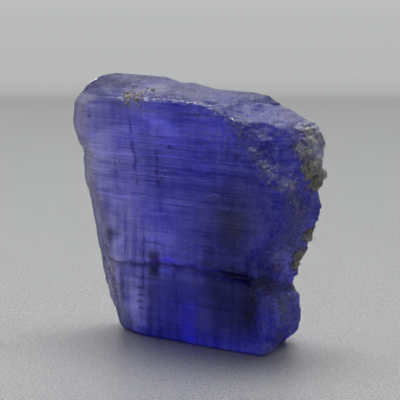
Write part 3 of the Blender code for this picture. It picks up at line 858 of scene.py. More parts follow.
def fine_push(grid, grid_s, roof, broken, edges):
    """The fine relief: striations, grain and terraces, less the scallops and the chips along the edges."""
    x, y, z = grid[..., 0], grid[..., 1], grid[..., 2]
    wall = 1.0 - roof
    area = np.linalg.norm(np.cross(np.roll(grid, -1, 1) - grid, np.gradient(grid, axis=0)), axis=-1)
    kinds = zip(SCALLOP_CHANCES, (broken > 0.5, within(grid_s, BACK_ROUND) * wall, roof))
    chance = area * sum(weight * where for weight, where in kinds)
    scallops = scattered_bowls(grid, chance, SCALLOP_COUNT, SCALLOP_RADIUS, SCALLOP_DEPTH, SCALLOP_SEED)
    chips = scattered_bowls(grid, area * edges, CHIP_COUNT, CHIP_RADIUS, CHIP_DEPTH, CHIP_SEED)
    striae = along(STRIA_ROUND, grid_s) * (1.0 - STRIA_ROOF_LOSS * roof) * along(STRIA_BY_HEIGHT, z)
    striae = striae * stria_push(x, y, z)
    grain = sum(reach * waves(x, y, z, pitch, pitch, seed) for pitch, reach, seed in SURFACE_GRAIN)
    grain = np.maximum(along(ROUGH_ROUND, grid_s), roof) * grain
    steps = sum(reach * waves(x, y, z, level, up, seed) for level, up, reach, seed in TERRACE_WAVES)
    terraces = TERRACE_REACH * np.round(TERRACE_STEPS * steps) / TERRACE_STEPS
    terraces = terraces * along(TERRACE_ROUND, grid_s) * wall
    return striae + grain + terraces - near_bowl_cut(grid, scallops) - near_bowl_cut(grid, chips)


def crystal_grid():
    """The surface with its fine relief, and masks from 0 to 1 that say where each kind of surface is."""
    grid, grid_s = plain_grid()
    x, y, z = grid[..., 0], grid[..., 1], grid[..., 2]
    row = np.arange(len(grid))[:, None]
    roof = np.clip((row - WALL_ROWS) / ROOF_FADE_ROWS, 0.0, 1.0) * np.ones_like(grid_s)
    wall = 1.0 - roof
    broken = along(BROKEN_ROUND, grid_s) * wall
    ridge = np.exp(-((grid_s - RIDGE_CORNER) / RIDGE_WIDTH) ** 2) * along(RIDGE_BY_HEIGHT, z) * wall
    brow = np.exp(-((row - WALL_ROWS) / BROW_CHIP_ROWS) ** 2) * within(grid_s, BROW_ROUND)
    push = fine_push(grid, grid_s, roof, broken, ridge + brow)
    fade_base = np.clip(z / BASE_FADE, 0.0, 1.0)
    fade_crest = np.clip((len(grid) - 1 - row) / CREST_FADE_ROWS, 0.0, 1.0)
    moved = grid + (push * fade_base * fade_crest)[..., None] * smooth_normals(grid)
    moved[..., 2] = np.maximum(moved[..., 2], 0.0)
    masks = {
        "roof": roof,
        "broken": broken,
        "strip": np.clip(STRIP_END - grid_s, 0.0, 1.0) * along(STRIP_BY_HEIGHT, z) * wall,
        "ridge": np.maximum(np.maximum(ridge, brow), CRUMB_PIT_SHADE_AND_GLINTS * crumb_patch(grid)),
        "tint": crystal_tint(x, y, z, grid_s, roof),
    }
    return moved, masks


def crystal_tint(x, y, z, grid_s, roof):
    """The slow colour of each point: washes on the broad face, and plainer colours on the other sides."""
    front = np.clip((FRONT_Y - y) / FRONT_FADE, 0.0, 1.0)[..., None]
    depth = y - FACE_Y
    ground = np.ones(x.shape + (3,)) * FACE_TINT
    face = washes(ground, x + STAIN_SLANT[0] * depth, z + STAIN_SLANT[1] * depth, FACE_WASHES)
    slow = waves(x, y, z, *SLOW_WAVES)[..., None]
    left = along(LEFT_BACK_X, x)[..., None]
    rest = blended(BACK_TINT, LEFT_BACK_TINT, left) * (1.0 - BACK_MOTTLE * slow)
    rest = blended(rest, np.minimum(rest, face), BACK_STAIN_SHARE)
    tint = blended(rest, face, front)
    side = np.clip(1.0 - np.abs(grid_s - SIDE_MIDDLE) / SIDE_HALF_WIDTH, 0.0, 1.0)[..., None]
    tint = blended(tint, two_tone(SIDE_TINT_RED, SIDE_TINT_BLUE, z), side)
    visible = within(grid_s, VISIBLE_ROUND).astype(float)[..., None]
    tint = blended(tint, washes(tint, x, z, BROKEN_SPOTS), visible)
    rim = np.clip((RIM_END - grid_s) / RIM_FADE, 0.0, 1.0)[..., None]
    wavy_x = x + RIM_WAVINESS * waves(x, y, z, *RIM_WAVES)
    tint = blended(tint, washes(tint, wavy_x, z, STRIP_STREAKS), rim)
    # Painted glow: the tint is lifted to at least a blue, greyer at the right corner, just above the base
    near_base = along(BASE_GLOW_BY_HEIGHT, z)[..., None] * front
    least = blended(BASE_GLOW_TINT, BASE_CORNER_TINT, along(BASE_CORNER_X, x)[..., None])
    tint = blended(tint, np.maximum(tint, least), near_base)
    # Painted shadow: a dark line along the foot of the walls
    tint = blended(tint, BASE_SHADOW_TINT, np.exp(-(z / BASE_SHADOW_HEIGHT) ** 2)[..., None])
    band, stain = crack_band(x, y, z, grid_s)
    tint = blended(tint, stain, band)
    tint = blended(tint, ROOF_TINT * (1.0 + ROOF_MOTTLE * slow), roof[..., None])
    return blended(tint, CRUST_TINT, crust_share(x, y, z)[..., None])


def crack_band(x, y, z, grid_s):
    """How strongly the level crack stains each point, and its colour: a ragged band, black at the right."""
    half = along(BAND_HALF_HEIGHT, x)
    ragged = sum(reach * waves(x, y, z, level, up, seed) for level, up, reach, seed in BAND_RAGGED)
    away = z - along(BAND_Z, x) + ragged * (BAND_RAGGED_LEAST + half)
    away = np.where(away < 0.0, -BAND_LOWER_CRISPNESS * away, away)
    share = np.exp(-(away / half) ** along(BAND_CRISPNESS, x))
    lines = sum(reach * waves(x, y, z, level, up, seed) for level, up, reach, seed in BAND_LINE_WAVES)
    share = share * np.clip(BAND_LINE_LEVEL + along(BAND_LINES, x) * lines, 0.0, 1.0)
    whole = along(BAND_WHOLENESS, x) + BAND_GAPS * waves(x, y, z, *BAND_GAP_WAVES)
    whole = np.where(grid_s < VISIBLE_ROUND[1], np.clip(whole, 0.0, 1.0), BAND_BACK_SHARE)
    share = share * along(BAND_STRENGTH, x) * whole
    return share[..., None], blended(BAND_VIOLET, BAND_BLACK, along(BAND_BLACK_X, x)[..., None])


def crust_share(x, y, z):
    """How much host rock clings to the crystal's own surface round each grain, from 0 to 1."""
    share = np.zeros(x.shape)
    for *middle, radius in ROCK_GRAINS:
        share = np.maximum(share, np.exp(-away_share(x, y, z, middle, ROCK_SPREAD * radius)))
    return share


def grid_quads(index):
    """Quads between the neighbouring rows and columns of a table of point numbers."""
    return np.stack([index[:-1, :-1], index[:-1, 1:], index[1:, 1:], index[1:, :-1]], axis=-1)


def closed_round(index):
    """A table of point numbers with its first column once more at its end."""
    return np.concatenate([index, index[:, :1]], axis=1)


def add_layer(mesh, name, values):
    """An attribute that holds one number or one colour for each point."""
    if values.ndim == 1:
        layer = mesh.attributes.new(name, "FLOAT", "POINT")
        layer.data.foreach_set("value", values.astype(np.float32))
    else:
        layer = mesh.attributes.new(name, "FLOAT_COLOR", "POINT")
        colours = np.column_stack([values, np.ones(len(values))])
        layer.data.foreach_set("color", colours.astype(np.float32).ravel())


def smooth_faces(mesh, smooth):
    """Smooth shading where asked for; a plain True means every face."""
    mesh.polygons.foreach_set("use_smooth", np.broadcast_to(smooth, len(mesh.polygons)).copy())


def closed_mesh(name, grid, masks):
    """A mesh of the grid, closed along its crest and, by level rows across the base, underneath."""
    rows, columns = grid.shape[:2]
    column = np.arange(columns)
    mate = np.where(column > columns // 2, columns - column, column)
    ring = grid[0]
    middle = (ring + ring[(columns - column) % columns]) / 2.0
    share = (np.arange(BASE_ROWS) / BASE_ROWS)[:, None, None]
    base = middle * (1.0 - share) + ring * share
    full = np.concatenate([base, grid])
    index = np.arange((rows + BASE_ROWS) * columns).reshape(rows + BASE_ROWS, columns)
    index[0] = index[0][mate]
    index[-1] = index[-1][mate]
    used, quads = np.unique(grid_quads(closed_round(index)), return_inverse=True)
    mesh = bpy.data.meshes.new(name)
    mesh.from_pydata(full.reshape(-1, 3)[used] * MM, [], quads.reshape(-1, 4))
    for mask_name, mask in masks.items():
        padded = np.concatenate([np.repeat(mask[:1], BASE_ROWS, axis=0), mask])
        add_layer(mesh, mask_name, padded.reshape((-1,) + mask.shape[2:])[used])
    smooth_faces(mesh, np.arange(len(mesh.polygons)) >= BASE_ROWS * columns)
    mesh.update()
    return mesh


def angular_grains(centres, radii, random, across, down, roughening):
    """Blocky grains as one set of points and quads, and the number of the grain that owns each point.

    Each grain is a surface over a grid of directions: its reach in a direction is the nearest of a few random
    planes, so it is a rounded-off polyhedron, with value noise for its sugary skin.
    """
    count = len(radii)
    turn = np.arange(across) / across * 2.0 * np.pi
    tilt = np.linspace(0.0, np.pi, down)
    tilt[0], tilt[-1] = POLE_TILT, np.pi - POLE_TILT
    direction = np.stack([
        np.sin(tilt)[:, None] * np.cos(turn), np.sin(tilt)[:, None] * np.sin(turn),
        np.cos(tilt)[:, None] * np.ones(across),
    ], axis=-1)
    planes = random.normal(size=(count, GRAIN_PLANES, 3))
    planes /= np.linalg.norm(planes, axis=-1, keepdims=True)
    limit = random.uniform(*GRAIN_PLANE_REACH, size=(count, GRAIN_PLANES))
    facing = np.einsum("dai,npi->ndap", direction, planes)
    ahead = limit[:, None, None, :] / np.maximum(facing, LEAST_FACING)
    reach = np.where(facing > LEAST_FACING, ahead, UNLIMITED).min(axis=-1)
    reach = np.minimum(reach, GRAIN_REACH_LIMIT)
    squash = random.uniform(*GRAIN_SQUASH, size=(count, 1, 1, 3))
    local = direction * reach[..., None] * squash
    place = centres[:, None, None, :] + radii[:, None, None, None] * local
    skin = sum(value_noise(*(place[..., i] * pitch for i in range(3)), seed) for pitch, seed in GRAIN_SKIN)
    place = place + roughening * (radii[:, None, None] * skin)[..., None] * direction
    index = np.arange(count * down * across).reshape(count, down, across)
    index[:, 0] = index[:, 0, :1]
    index[:, -1] = index[:, -1, :1]
    right = np.roll(index, -1, axis=2)
    quads = np.stack([index[:, :-1], index[:, 1:], right[:, 1:], right[:, :-1]], axis=-1).reshape(-1, 4)
    return place.reshape(-1, 3), quads, np.repeat(np.arange(count), down * across)


def grain_mesh(name, points, quads, shade):
    """A mesh with the pole quads as triangles, and a shade or a colour for each point as an attribute."""
    used, quads = np.unique(quads, return_inverse=True)
    faces = [list(dict.fromkeys(face)) for face in quads.reshape(-1, 4).tolist()]
    mesh = bpy.data.meshes.new(name)
    mesh.from_pydata(points[used] * MM, [], faces)
    add_layer(mesh, "shade" if shade.ndim == 1 else "tint", shade[used])
    mesh.update()
    return mesh


def host_rock():
    """The host rock: each of the solid's grains as a blocky core with smaller grains grown over it.

    Each core is paler the higher it sits, and its small grains share its shade.
    """
    random = np.random.default_rng(CRUST_SEED)
    cores = np.array(ROCK_GRAINS)
    children = (len(cores), CRUST_CHILDREN)
    size = along(GRAIN_SHARE_BY_HEIGHT, cores[:, 2])
    directions = random.normal(size=children + (3,))
    directions /= np.linalg.norm(directions, axis=-1, keepdims=True)
    away = cores[:, None, 3:] * random.uniform(*CHILD_AWAY, children + (1,))
    child_places = cores[:, None, :3] + directions * away * size[:, None, None]
    child_radii = (size * cores[:, 3])[:, None] * random.uniform(*CHILD_RADIUS, children)
    centres = np.concatenate([cores[:, :3], child_places.reshape(-1, 3)])
    radii = np.concatenate([cores[:, 3] * CORE_RADIUS * size, child_radii.ravel()])
    points, quads, owner = angular_grains(centres, radii, random, *GRAIN_GRID, GRAIN_ROUGHENING)
    pale = along(GRAIN_PALENESS_BY_HEIGHT, cores[:, 2])
    child_pale = pale[:, None] + random.uniform(-CHILD_SHADE, CHILD_SHADE, children)
    shade = np.concatenate([pale, child_pale.ravel()])[owner]
    return grain_mesh("host_rock_grains", points, quads, shade)


def clinging_sheet(name, place, normal, clings, height, tint):
    """A closed sheet over the parts of a block of the grid where something clings to the skin.

    Its outside is the skin pushed out by the given height, its inside the skin pushed in a little, and the
    two meet on the skin along each patch's rim.
    """
    picked = clings[:-1, :-1] & clings[:-1, 1:] & clings[1:, 1:] & clings[1:, :-1]
    around = np.pad(picked, 1).astype(int)
    inner = grid_quads(around).sum(axis=-1) == 4
    lift = np.where(inner, height, 0.0)
    outside = place + lift[..., None] * normal
    inside = place - SHEET_DEPTH * normal
    index = np.arange(lift.size).reshape(lift.shape)
    front = grid_quads(index)[picked]
    back = grid_quads(np.where(inner, index + lift.size, index))[picked][:, [0, 3, 2, 1]]
    points = np.concatenate([outside.reshape(-1, 3), inside.reshape(-1, 3)])
    shade = np.concatenate([tint.reshape(-1, 3)] * 2)
    mesh = grain_mesh(name, points, np.concatenate([front, back]), shade)
    smooth_faces(mesh, True)
    return mesh


def rock_skin(grid):
    """Host rock that clings to the skin round the grains, thick low down and thin high up."""
    block = (slice(*ROCK_SKIN_ROWS), slice(*ROCK_SKIN_COLUMNS))
    normal = smooth_normals(grid)[block]
    place = grid[block]
    x, y, z = place[..., 0], place[..., 1], place[..., 2]
    lumps = sum(reach * waves(x, y, z, pitch, pitch, seed) for pitch, reach, seed in ROCK_LUMPS)
    share = crust_share(x, y, z)
    speckle = waves(x, y, z, *ROCK_SPECKLE_WAVES)
    depth = share + ROCK_SKIN_RAGGED * lumps - along(ROCK_SKIN_LEAST, z)
    clings = depth + ROCK_SKIN_SPECKLED * speckle > 0.0
    height = along(ROCK_SKIN_LIFT, z) * share + along(ROCK_SKIN_LUMPS, z) * lumps
    height = np.maximum(height, ROCK_SKIN_THINNEST)
    tint = two_tone(SKIN_RED, SKIN_BLUE, z) * (1.0 + SKIN_MOTTLE * lumps[..., None])
    for _, middle, reach, strength, colour in SKIN_PATCHES:
        away = ((place - np.array(middle)) ** 2).sum(axis=-1) / reach ** 2
        near = (strength * np.exp(-away ** 2))[..., None]
        tint = blended(tint, np.array(colour), near)
    inward = np.clip(depth / CLING_EDGE + CLING_EDGE_LEAST, 0.0, 1.0)[..., None]
    tint = blended(CLING_EDGE_TINT, tint, inward)
    return clinging_sheet("host_rock_skin", place, normal, clings, height, tint)


def patch_crumbs(grid):
    """Crumbs of host rock caught in a patch on the upper left of the broad face."""
    random = np.random.default_rng(CRUMB_SEED)
    points = grid.reshape(-1, 3)
    patch = crumb_patch(points)
    picked = random.choice(len(points), size=CRUMB_COUNT, p=patch / patch.sum())
    centres = points[picked] + random.normal(scale=CRUMB_SCATTER, size=(CRUMB_COUNT, 3))
    radii = CRUMB_LEAST_RADIUS + CRUMB_RADIUS_SPREAD * random.random(CRUMB_COUNT) ** 3
    vertices, quads, owner = angular_grains(centres, radii, random, *CRUMB_GRID, 0.0)
    shade = random.random(CRUMB_COUNT) ** CRUMB_SHADE_POWER
    return grain_mesh("patch_crumbs", vertices, quads, shade[owner])


def sparkle_flakes(grid, masks):
    """Tiny splinters that stand on the ridge and on the broken surfaces and glint, drawn out on a slant."""
    random = np.random.default_rng(FLAKE_SEED)
    points = grid.reshape(-1, 3)
    depth, height = points[:, 1], points[:, 2]
    chance = masks["broken"].ravel() * along(FLAKES_BY_HEIGHT, height)
    chance = RIDGE_FLAKE_CHANCE * masks["ridge"].ravel() ** 2 + chance
    patchy = value_noise(*(FLAKE_PATCH_PITCH * points.T), FLAKE_PATCH_SEED) + FLAKE_PATCH_LEVEL
    patchy = np.clip(patchy, FLAKE_PATCH_LEAST, 1.0)
    chance = chance * patchy * (depth < FLAKES_FRONT_OF)
    chance = chance * ((height > FLAKES_OFF_FACE_BELOW) | (depth > FLAKES_OFF_FACE_Y))
    for *middle, reach, strength in FROST_SPOTS:
        away = ((points - middle) ** 2).sum(axis=1) / reach ** 2
        chance = chance + FROST_CHANCE * strength * np.exp(-away)
    picked = random.choice(len(points), size=FLAKE_COUNT, p=chance / chance.sum())
    radii = random.uniform(*FLAKE_RADIUS, FLAKE_COUNT)
    vertices, quads, owner = angular_grains(points[picked], radii, random, *FLAKE_GRID, 0.0)
    angle = math.radians(SCRATCH_SLANT)
    slant = np.array([math.cos(angle), 0.0, math.sin(angle)])
    offset = vertices - points[picked][owner]
    stretch = random.uniform(0.0, FLAKE_STRETCH, FLAKE_COUNT)[owner][:, None]
    drawn = (offset @ slant)[:, None] * slant * stretch
    shade = random.random(FLAKE_COUNT) ** FLAKE_SHADE_POWER
    return grain_mesh("sparkle_flakes", vertices + drawn, quads, shade[owner])


def lint_fibres():
    """Fine hairs caught on the broken edge: a small ring swept along a sagging arc, closed at both ends."""
    share = np.linspace(0.0, 1.0, LINT_RINGS)
    turn = np.arange(LINT_SIDES) / LINT_SIDES * 2.0 * np.pi
    taper = np.sqrt(np.clip(1.0 - (2.0 * share - 1.0) ** 8, 0.0, 1.0))
    index = np.arange(share.size * turn.size).reshape(share.size, turn.size)
    index[0], index[-1] = index[0, 0], index[-1, 0]
    quads = grid_quads(closed_round(index)).reshape(-1, 4)
    points = []
    for start, way, length, sag in LINT:
        way = np.array(way) / np.linalg.norm(way)
        side = np.cross(way, (0.0, 1.0, 0.0))
        side = side / np.linalg.norm(side)
        over = np.cross(way, side)
        middle = np.array(start) + np.outer(share * length, way) + np.outer(sag * np.sin(np.pi * share), side)
        ring = np.cos(turn)[:, None] * side + np.sin(turn)[:, None] * over
        points.append((middle[:, None] + LINT_RADIUS * taper[:, None, None] * ring).reshape(-1, 3))
    quads = np.concatenate([quads + i * index.size for i in range(len(LINT))])
    return grain_mesh("lint_fibres", np.concatenate(points), quads, np.ones(len(LINT) * index.size))


def shown(name, mesh, material):
    """A new object at the origin with the mesh and its material."""
    piece = bpy.data.objects.new(name, mesh)
    mesh.materials.append(material)
    bpy.context.scene.collection.objects.link(piece)
    return piece


class Look:
    """A Principled material's node graph, with one short method for each kind of node it uses."""

    def __init__(self, name, colour, roughness):
        self.material = bpy.data.materials.new(name)
        self.material.use_nodes = True
        self.tree = self.material.node_tree
        self.shader = self.tree.nodes["Principled BSDF"]
        self.output = self.tree.nodes["Material Output"]
        self.set("Base Color", (*colour, 1.0))
        self.set("Roughness", roughness)
        place = self.tree.nodes.new("ShaderNodeTexCoord")
        self.mm = self.scaled(place.outputs["Object"], (1.0 / MM,) * 3)

    def feed(self, value, socket):
        """A socket takes a plain value as its default and another socket as a link."""
        if isinstance(value, bpy.types.NodeSocket):
            self.tree.links.new(value, socket)
        else:
            socket.default_value = value

    def set(self, name, value):
        """The shader's input of that name takes the value."""
        self.feed(value, self.shader.inputs[name])

    def scaled(self, vector, factors):
        """A vector with each axis multiplied by its own factor."""
        node = self.tree.nodes.new("ShaderNodeVectorMath")
        node.operation = "MULTIPLY"
        self.feed(vector, node.inputs[0])
        node.inputs[1].default_value = factors
        return node.outputs[0]

    def axes(self):
        """X, Y and Z of the point in millimetres."""
        node = self.tree.nodes.new("ShaderNodeSeparateXYZ")
        self.feed(self.mm, node.inputs[0])
        return node.outputs[0], node.outputs[1], node.outputs[2]

    def calc(self, operation, a, b=0.0):
        """One sum of the named kind."""
        node = self.tree.nodes.new("ShaderNodeMath")
        node.operation = operation
        self.feed(a, node.inputs[0])
        self.feed(b, node.inputs[1])
        return node.outputs[0]

    def times(self, first, *others):
        """The product of all the values."""
        for other in others:
            first = self.calc("MULTIPLY", first, other)
        return first

    def rest_of(self, share):
        """1 less the share."""
        return self.calc("SUBTRACT", 1.0, share)

    def noise(self, factors, detail, roughness, slant=0.0):
        """Noise from about 0.2 to 0.8, with its own number of waves per millimetre along each axis."""
        place = self.mm
        if slant:
            turn = self.tree.nodes.new("ShaderNodeVectorRotate")
            turn.rotation_type = "Y_AXIS"
            turn.inputs["Angle"].default_value = math.radians(slant)
            self.feed(place, turn.inputs["Vector"])
            place = turn.outputs[0]
        node = self.tree.nodes.new("ShaderNodeTexNoise")
        self.feed(self.scaled(place, factors), node.inputs["Vector"])
        node.inputs["Scale"].default_value = 1.0
        node.inputs["Detail"].default_value = detail
        node.inputs["Roughness"].default_value = roughness
        return node.outputs["Fac"]

    def pattern(self, name):
        """The named noise pattern."""
        return self.noise(*PATTERNS[name])

    def mark(self, name):
        """The named pattern, stretched to the strength of its mark."""
        return self.ramp(self.pattern(name), *MARKS[name])

    def ramp(self, value, low, high, start=0.0, end=1.0):
        """A smooth step from start to end as the value goes from low to high."""
        node = self.tree.nodes.new("ShaderNodeMapRange")
        node.interpolation_type = "SMOOTHSTEP"
        self.feed(value, node.inputs["Value"])
        ends = {"From Min": low, "From Max": high, "To Min": start, "To Max": end}
        for name, number in ends.items():
            node.inputs[name].default_value = number
        return node.outputs["Result"]

    def contrast(self, noise, start, end):
        """Most of a noise's range, stretched from start to end."""
        return self.ramp(noise, *NOISE_RANGE, start, end)

    def blend(self, share, a, b):
        """A plain number between a and b."""
        node = self.tree.nodes.new("ShaderNodeMix")
        node.data_type = "FLOAT"
        self.feed(share, node.inputs[0])
        self.feed(a, node.inputs[2])
        self.feed(b, node.inputs[3])
        return node.outputs[0]

    def mix(self, share, a, b, blend="MIX"):
        """A colour between a and b, or a blended with b in the named way."""
        node = self.tree.nodes.new("ShaderNodeMix")
        node.data_type = "RGBA"
        node.blend_type = blend
        self.feed(share, node.inputs[0])
        self.feed(a, node.inputs[6])
        self.feed(b, node.inputs[7])
        return node.outputs[2]

    def toned(self, tone):
        """The mesh's own tint times a tone, which changes red and green more than blue, as in the crystal."""
        node = self.tree.nodes.new("ShaderNodeCombineColor")
        self.feed(tone, node.inputs[0])
        self.feed(tone, node.inputs[1])
        self.feed(self.calc("POWER", tone, BLUE_TONE_POWER), node.inputs[2])
        return self.mix(1.0, self.attribute("tint", "Color"), node.outputs[0], "MULTIPLY")

    def attribute(self, name, output="Fac"):
        """A value that the mesh holds for each point."""
        node = self.tree.nodes.new("ShaderNodeAttribute")
        node.attribute_name = name
        return node.outputs[output]

    def bump(self, height, reach, normal=None):
        """Relief from a height of 0 to 1 that stands for reach, in millimetres."""
        node = self.tree.nodes.new("ShaderNodeBump")
        node.inputs["Strength"].default_value = 1.0
        node.inputs["Distance"].default_value = reach * MM
        self.feed(height, node.inputs["Height"])
        if normal is not None:
            self.feed(normal, node.inputs["Normal"])
        return node.outputs[0]


def lint_material():
    """Pale fibre, a little uneven in tone."""
    look = Look("lint", (0.75, 0.74, 0.72), 0.6)
    tone = look.mark("lint tone")
    look.set("Base Color", look.mix(tone, (0.6, 0.6, 0.58, 1.0), (0.85, 0.84, 0.82, 1.0)))
    return look.material


def flake_material():
    """Glossy splinters from violet to nearly white, by each one's own shade."""
    look = Look("crystal_splinter", (0.4, 0.4, 0.75), 0.18)
    look.set("IOR", GEM_INDEX)
    look.set("Specular IOR Level", 1.0)
    look.set("Transmission Weight", 0.3)
    shade = look.attribute("shade")
    look.set("Base Color", look.mix(shade, (0.18, 0.18, 0.55, 1.0), (0.80, 0.80, 0.95, 1.0)))
    look.set("Roughness", look.mark("splinter gloss"))
    look.set("Normal", look.bump(look.pattern("splinter relief"), 0.01))
    return look.material


def rock_material(name, dark, light, roughness):
    """Sugary rock between a dark and a light colour, by each grain's shade and a mottle, with dark pits."""
    look = Look(name, light, roughness)
    look.set("Transmission Weight", 0.3)
    mottle = look.pattern("rock mottle")
    shade = look.times(look.attribute("shade"), 0.8)
    share = look.calc("ADD", shade, look.ramp(mottle, 0.35, 0.65, -0.15, 0.35))
    colour = look.mix(share, (*dark, 1.0), (*light, 1.0))
    pits = look.mark("rock pits")
    look.set("Base Color", look.mix(look.times(pits, 0.75), colour, (0.03, 0.03, 0.025, 1.0)))
    look.set("Roughness", look.contrast(mottle, roughness - 0.15, roughness + 0.15))
    look.set("Normal", look.bump(look.pattern("rock relief"), 0.03))
    return look.material


def crust_material():
    """The thin clinging rock: its own colour, sugary light and dark grains, and glassy specks."""
    look = Look("crust_skin", (0.4, 0.4, 0.45), 0.45)
    mottle = look.mark("skin mottle")
    pits = look.mark("skin pits")
    colour = look.mix(pits, look.toned(mottle), (0.03, 0.03, 0.06, 1.0))
    specks = look.mark("skin specks")
    look.set("Base Color", look.mix(specks, colour, (0.8, 0.8, 0.86, 1.0)))
    look.set("Roughness", look.ramp(mottle, 0.5, 1.5, 0.55, 0.3))
    look.set("Normal", look.bump(look.pattern("skin relief"), 0.06))
    return look.material


class CrystalLook(Look):
    """The crystal's own material: the patterns that its marks share, and a method for each kind of mark."""

    def __init__(self):
        super().__init__("tanzanite_violet", (0.25, 0.24, 0.9), 0.3)
        self.x, self.y, self.z = self.axes()
        self.roof = self.attribute("roof")
        self.ridge = self.attribute("ridge")
        self.long_streak = self.pattern("long streaks")
        self.fine_streak = self.pattern("fine streaks")
        self.patch = self.pattern("patches")
        rough_roof = self.times(self.roof, self.ramp(self.x, *ROOF_ROUGH_X))
        self.rough_skin = self.calc("MAXIMUM", self.attribute("broken"), rough_roof)
        height = self.calc("ADD", self.z, self.times(self.x, SMOOTH_LEAN))
        self.smoothness = self.calc("MAXIMUM", self.ramp(height, *SMOOTH_BY_HEIGHT), self.attribute("strip"))
        clarity = self.mark("clarity")
        calm = self.times(self.ramp(self.z, *CALM_BY_HEIGHT), self.ramp(self.x, *CALM_X))
        streaked = self.rest_of(self.times(self.smoothness, 0.8))
        self.streaky = self.times(clarity, streaked, self.rest_of(calm))

    def body(self):
        """A clear stone: it lets light through, bends it, and absorbs nearly all but blue inside."""
        self.set("Transmission Weight", 0.92)
        self.set("IOR", GEM_INDEX)
        self.set("Specular IOR Level", 0.16)
        self.set("Specular Tint", (0.65, 0.65, 0.75, 1.0))
        volume = self.tree.nodes.new("ShaderNodeVolumeAbsorption")
        volume.inputs["Color"].default_value = ABSORBING_COLOUR
        volume.inputs["Density"].default_value = ABSORBING_DENSITY
        self.tree.links.new(volume.outputs["Volume"], self.output.inputs["Volume"])

    def tone(self):
        """Light and dark: level and upright streaks, patches, and grain where the stone is broken."""
        long_tone = self.contrast(self.long_streak, 0.40, 1.75)
        fine_tone = self.contrast(self.fine_streak, 0.55, 1.5)
        streaks = self.blend(self.streaky, 1.0, self.times(long_tone, fine_tone))
        share = self.times(self.ramp(self.smoothness, 0.0, 1.0, 0.3, 1.0), self.ramp(self.y, *UPRIGHT_Y))
        standing = self.blend(share, 1.0, self.mark("upright streaks"))
        tone = self.times(streaks, standing, self.contrast(self.patch, 0.55, 1.5))
        return self.times(tone, self.blend(self.rough_skin, 1.0, self.mark("granules")))

    def pale_marks(self, colour):
        """Frost along the streaks and short bright dashes, lilac on the left and greyer on the right."""
        to_right = self.ramp(self.x, *TO_RIGHT_X)
        frost = self.times(self.ramp(self.long_streak, 0.55, 0.70), self.ramp(self.patch, 0.42, 0.62))
        frost = self.times(frost, self.ramp(self.z, *FROST_BY_HEIGHT), self.ramp(self.x, *FROST_X))
        colour = self.mix(frost, colour, self.mix(to_right, FROST_LILAC, FROST_GREY))
        dashes = self.times(self.mark("dashes"), self.ramp(self.z, *DASHES_BY_HEIGHT))
        return self.mix(dashes, colour, self.mix(to_right, DASH_WHITE, DASH_GREY))

    def crack_lines(self):
        """Upright hairline cracks: dark where X is close to a slanting line that wiggles with height."""
        total = 0.0
        wiggle = self.calc("SUBTRACT", self.pattern("crack wiggle"), 0.5)
        bent = self.calc("ADD", self.x, self.times(wiggle, CRACK_WIGGLE))
        for top_x, top_z, bottom_x, bottom_z, width, strength in CRACKS:
            slope = (top_x - bottom_x) / (top_z - bottom_z)
            above = self.calc("SUBTRACT", self.z, bottom_z)
            line = self.calc("ADD", self.times(above, slope), bottom_x)
            away = self.calc("ABSOLUTE", self.calc("SUBTRACT", bent, line))
            near = self.ramp(away, 0.1 * width, width, strength, 0.0)
            near = self.times(near, self.ramp(self.z, bottom_z - 0.3, bottom_z + 0.4))
            near = self.times(near, self.ramp(self.z, top_z - 0.4, top_z + 0.3, 1.0, 0.0))
            total = self.calc("MAXIMUM", near, total)
        return self.times(total, self.mark("crack gaps"))

    def speck_dots(self):
        """Small dark inclusions at fixed places: a soft disc round each."""
        total = 0.0
        for dot_x, dot_z, reach in SPECKS:
            radius = SPECK_SPREAD * reach
            dx = self.calc("SUBTRACT", self.x, dot_x)
            dz = self.times(self.calc("SUBTRACT", self.z, dot_z), SPECK_FLATNESS)
            squares = self.calc("ADD", self.calc("POWER", dx, 2.0), self.calc("POWER", dz, 2.0))
            away = self.calc("SQRT", squares)
            total = self.calc("MAXIMUM", self.ramp(away, 0.5 * radius, radius, 1.0, 0.0), total)
        return total

    def dark_marks(self, colour):
        """Dark level lines, lines along the roof, and the cracks and specks of the broad face."""
        face = self.ramp(self.y, *BROAD_FACE_Y)
        dark = self.times(self.mark("level lines"), self.ramp(self.z, *LINES_BY_HEIGHT))
        dark = self.calc("MAXIMUM", dark, self.times(self.mark("roof lines"), self.roof))
        dark = self.calc("MAXIMUM", dark, self.times(self.crack_lines(), face))
        dark = self.calc("MAXIMUM", dark, self.times(self.speck_dots(), face))
        return self.mix(self.times(dark, 0.85), colour, LINE_BLUE)

    def broken_marks(self, colour):
        """Pale slanting scratches, and painted shade in dark hollows, where the crystal is broken or its roof
        is rough.
        """
        scratches = self.times(self.mark("scratches"), self.times(self.rough_skin, 0.8))
        off_face = self.ramp(self.y, *SCRATCH_Y)
        upper = self.ramp(self.z, *SCRATCHES_BY_HEIGHT)
        scratches = self.times(scratches, self.calc("MAXIMUM", upper, off_face))
        scratches = self.times(scratches, self.ramp(self.attribute("tint"), 0.002, 0.02))
        pale = self.mix(self.ramp(self.z, *LILAC_SCRATCHES_BY_HEIGHT), SCRATCH_GREY, SCRATCH_LILAC)
        colour = self.mix(scratches, colour, pale)
        # Painted shade: dark blue where the hollows would be in shade
        hollows = self.times(self.mark("hollows"), self.times(self.rough_skin, 0.7))
        return self.mix(hollows, colour, HOLLOW_SHADE_BLUE)

    def ridge_marks(self, colour):
        """Painted shade in dark pits and small painted glints along the ridge, the brow and the crumb patch.
        """
        pits = self.times(self.mark("ridge pit shade"), self.times(self.ridge, 0.85))
        glints = self.times(self.mark("painted ridge glints"), self.times(self.ridge, 0.3))
        return self.mix(glints, self.mix(pits, colour, PIT_SHADE_BLACK), PAINTED_GLINT_WHITE)

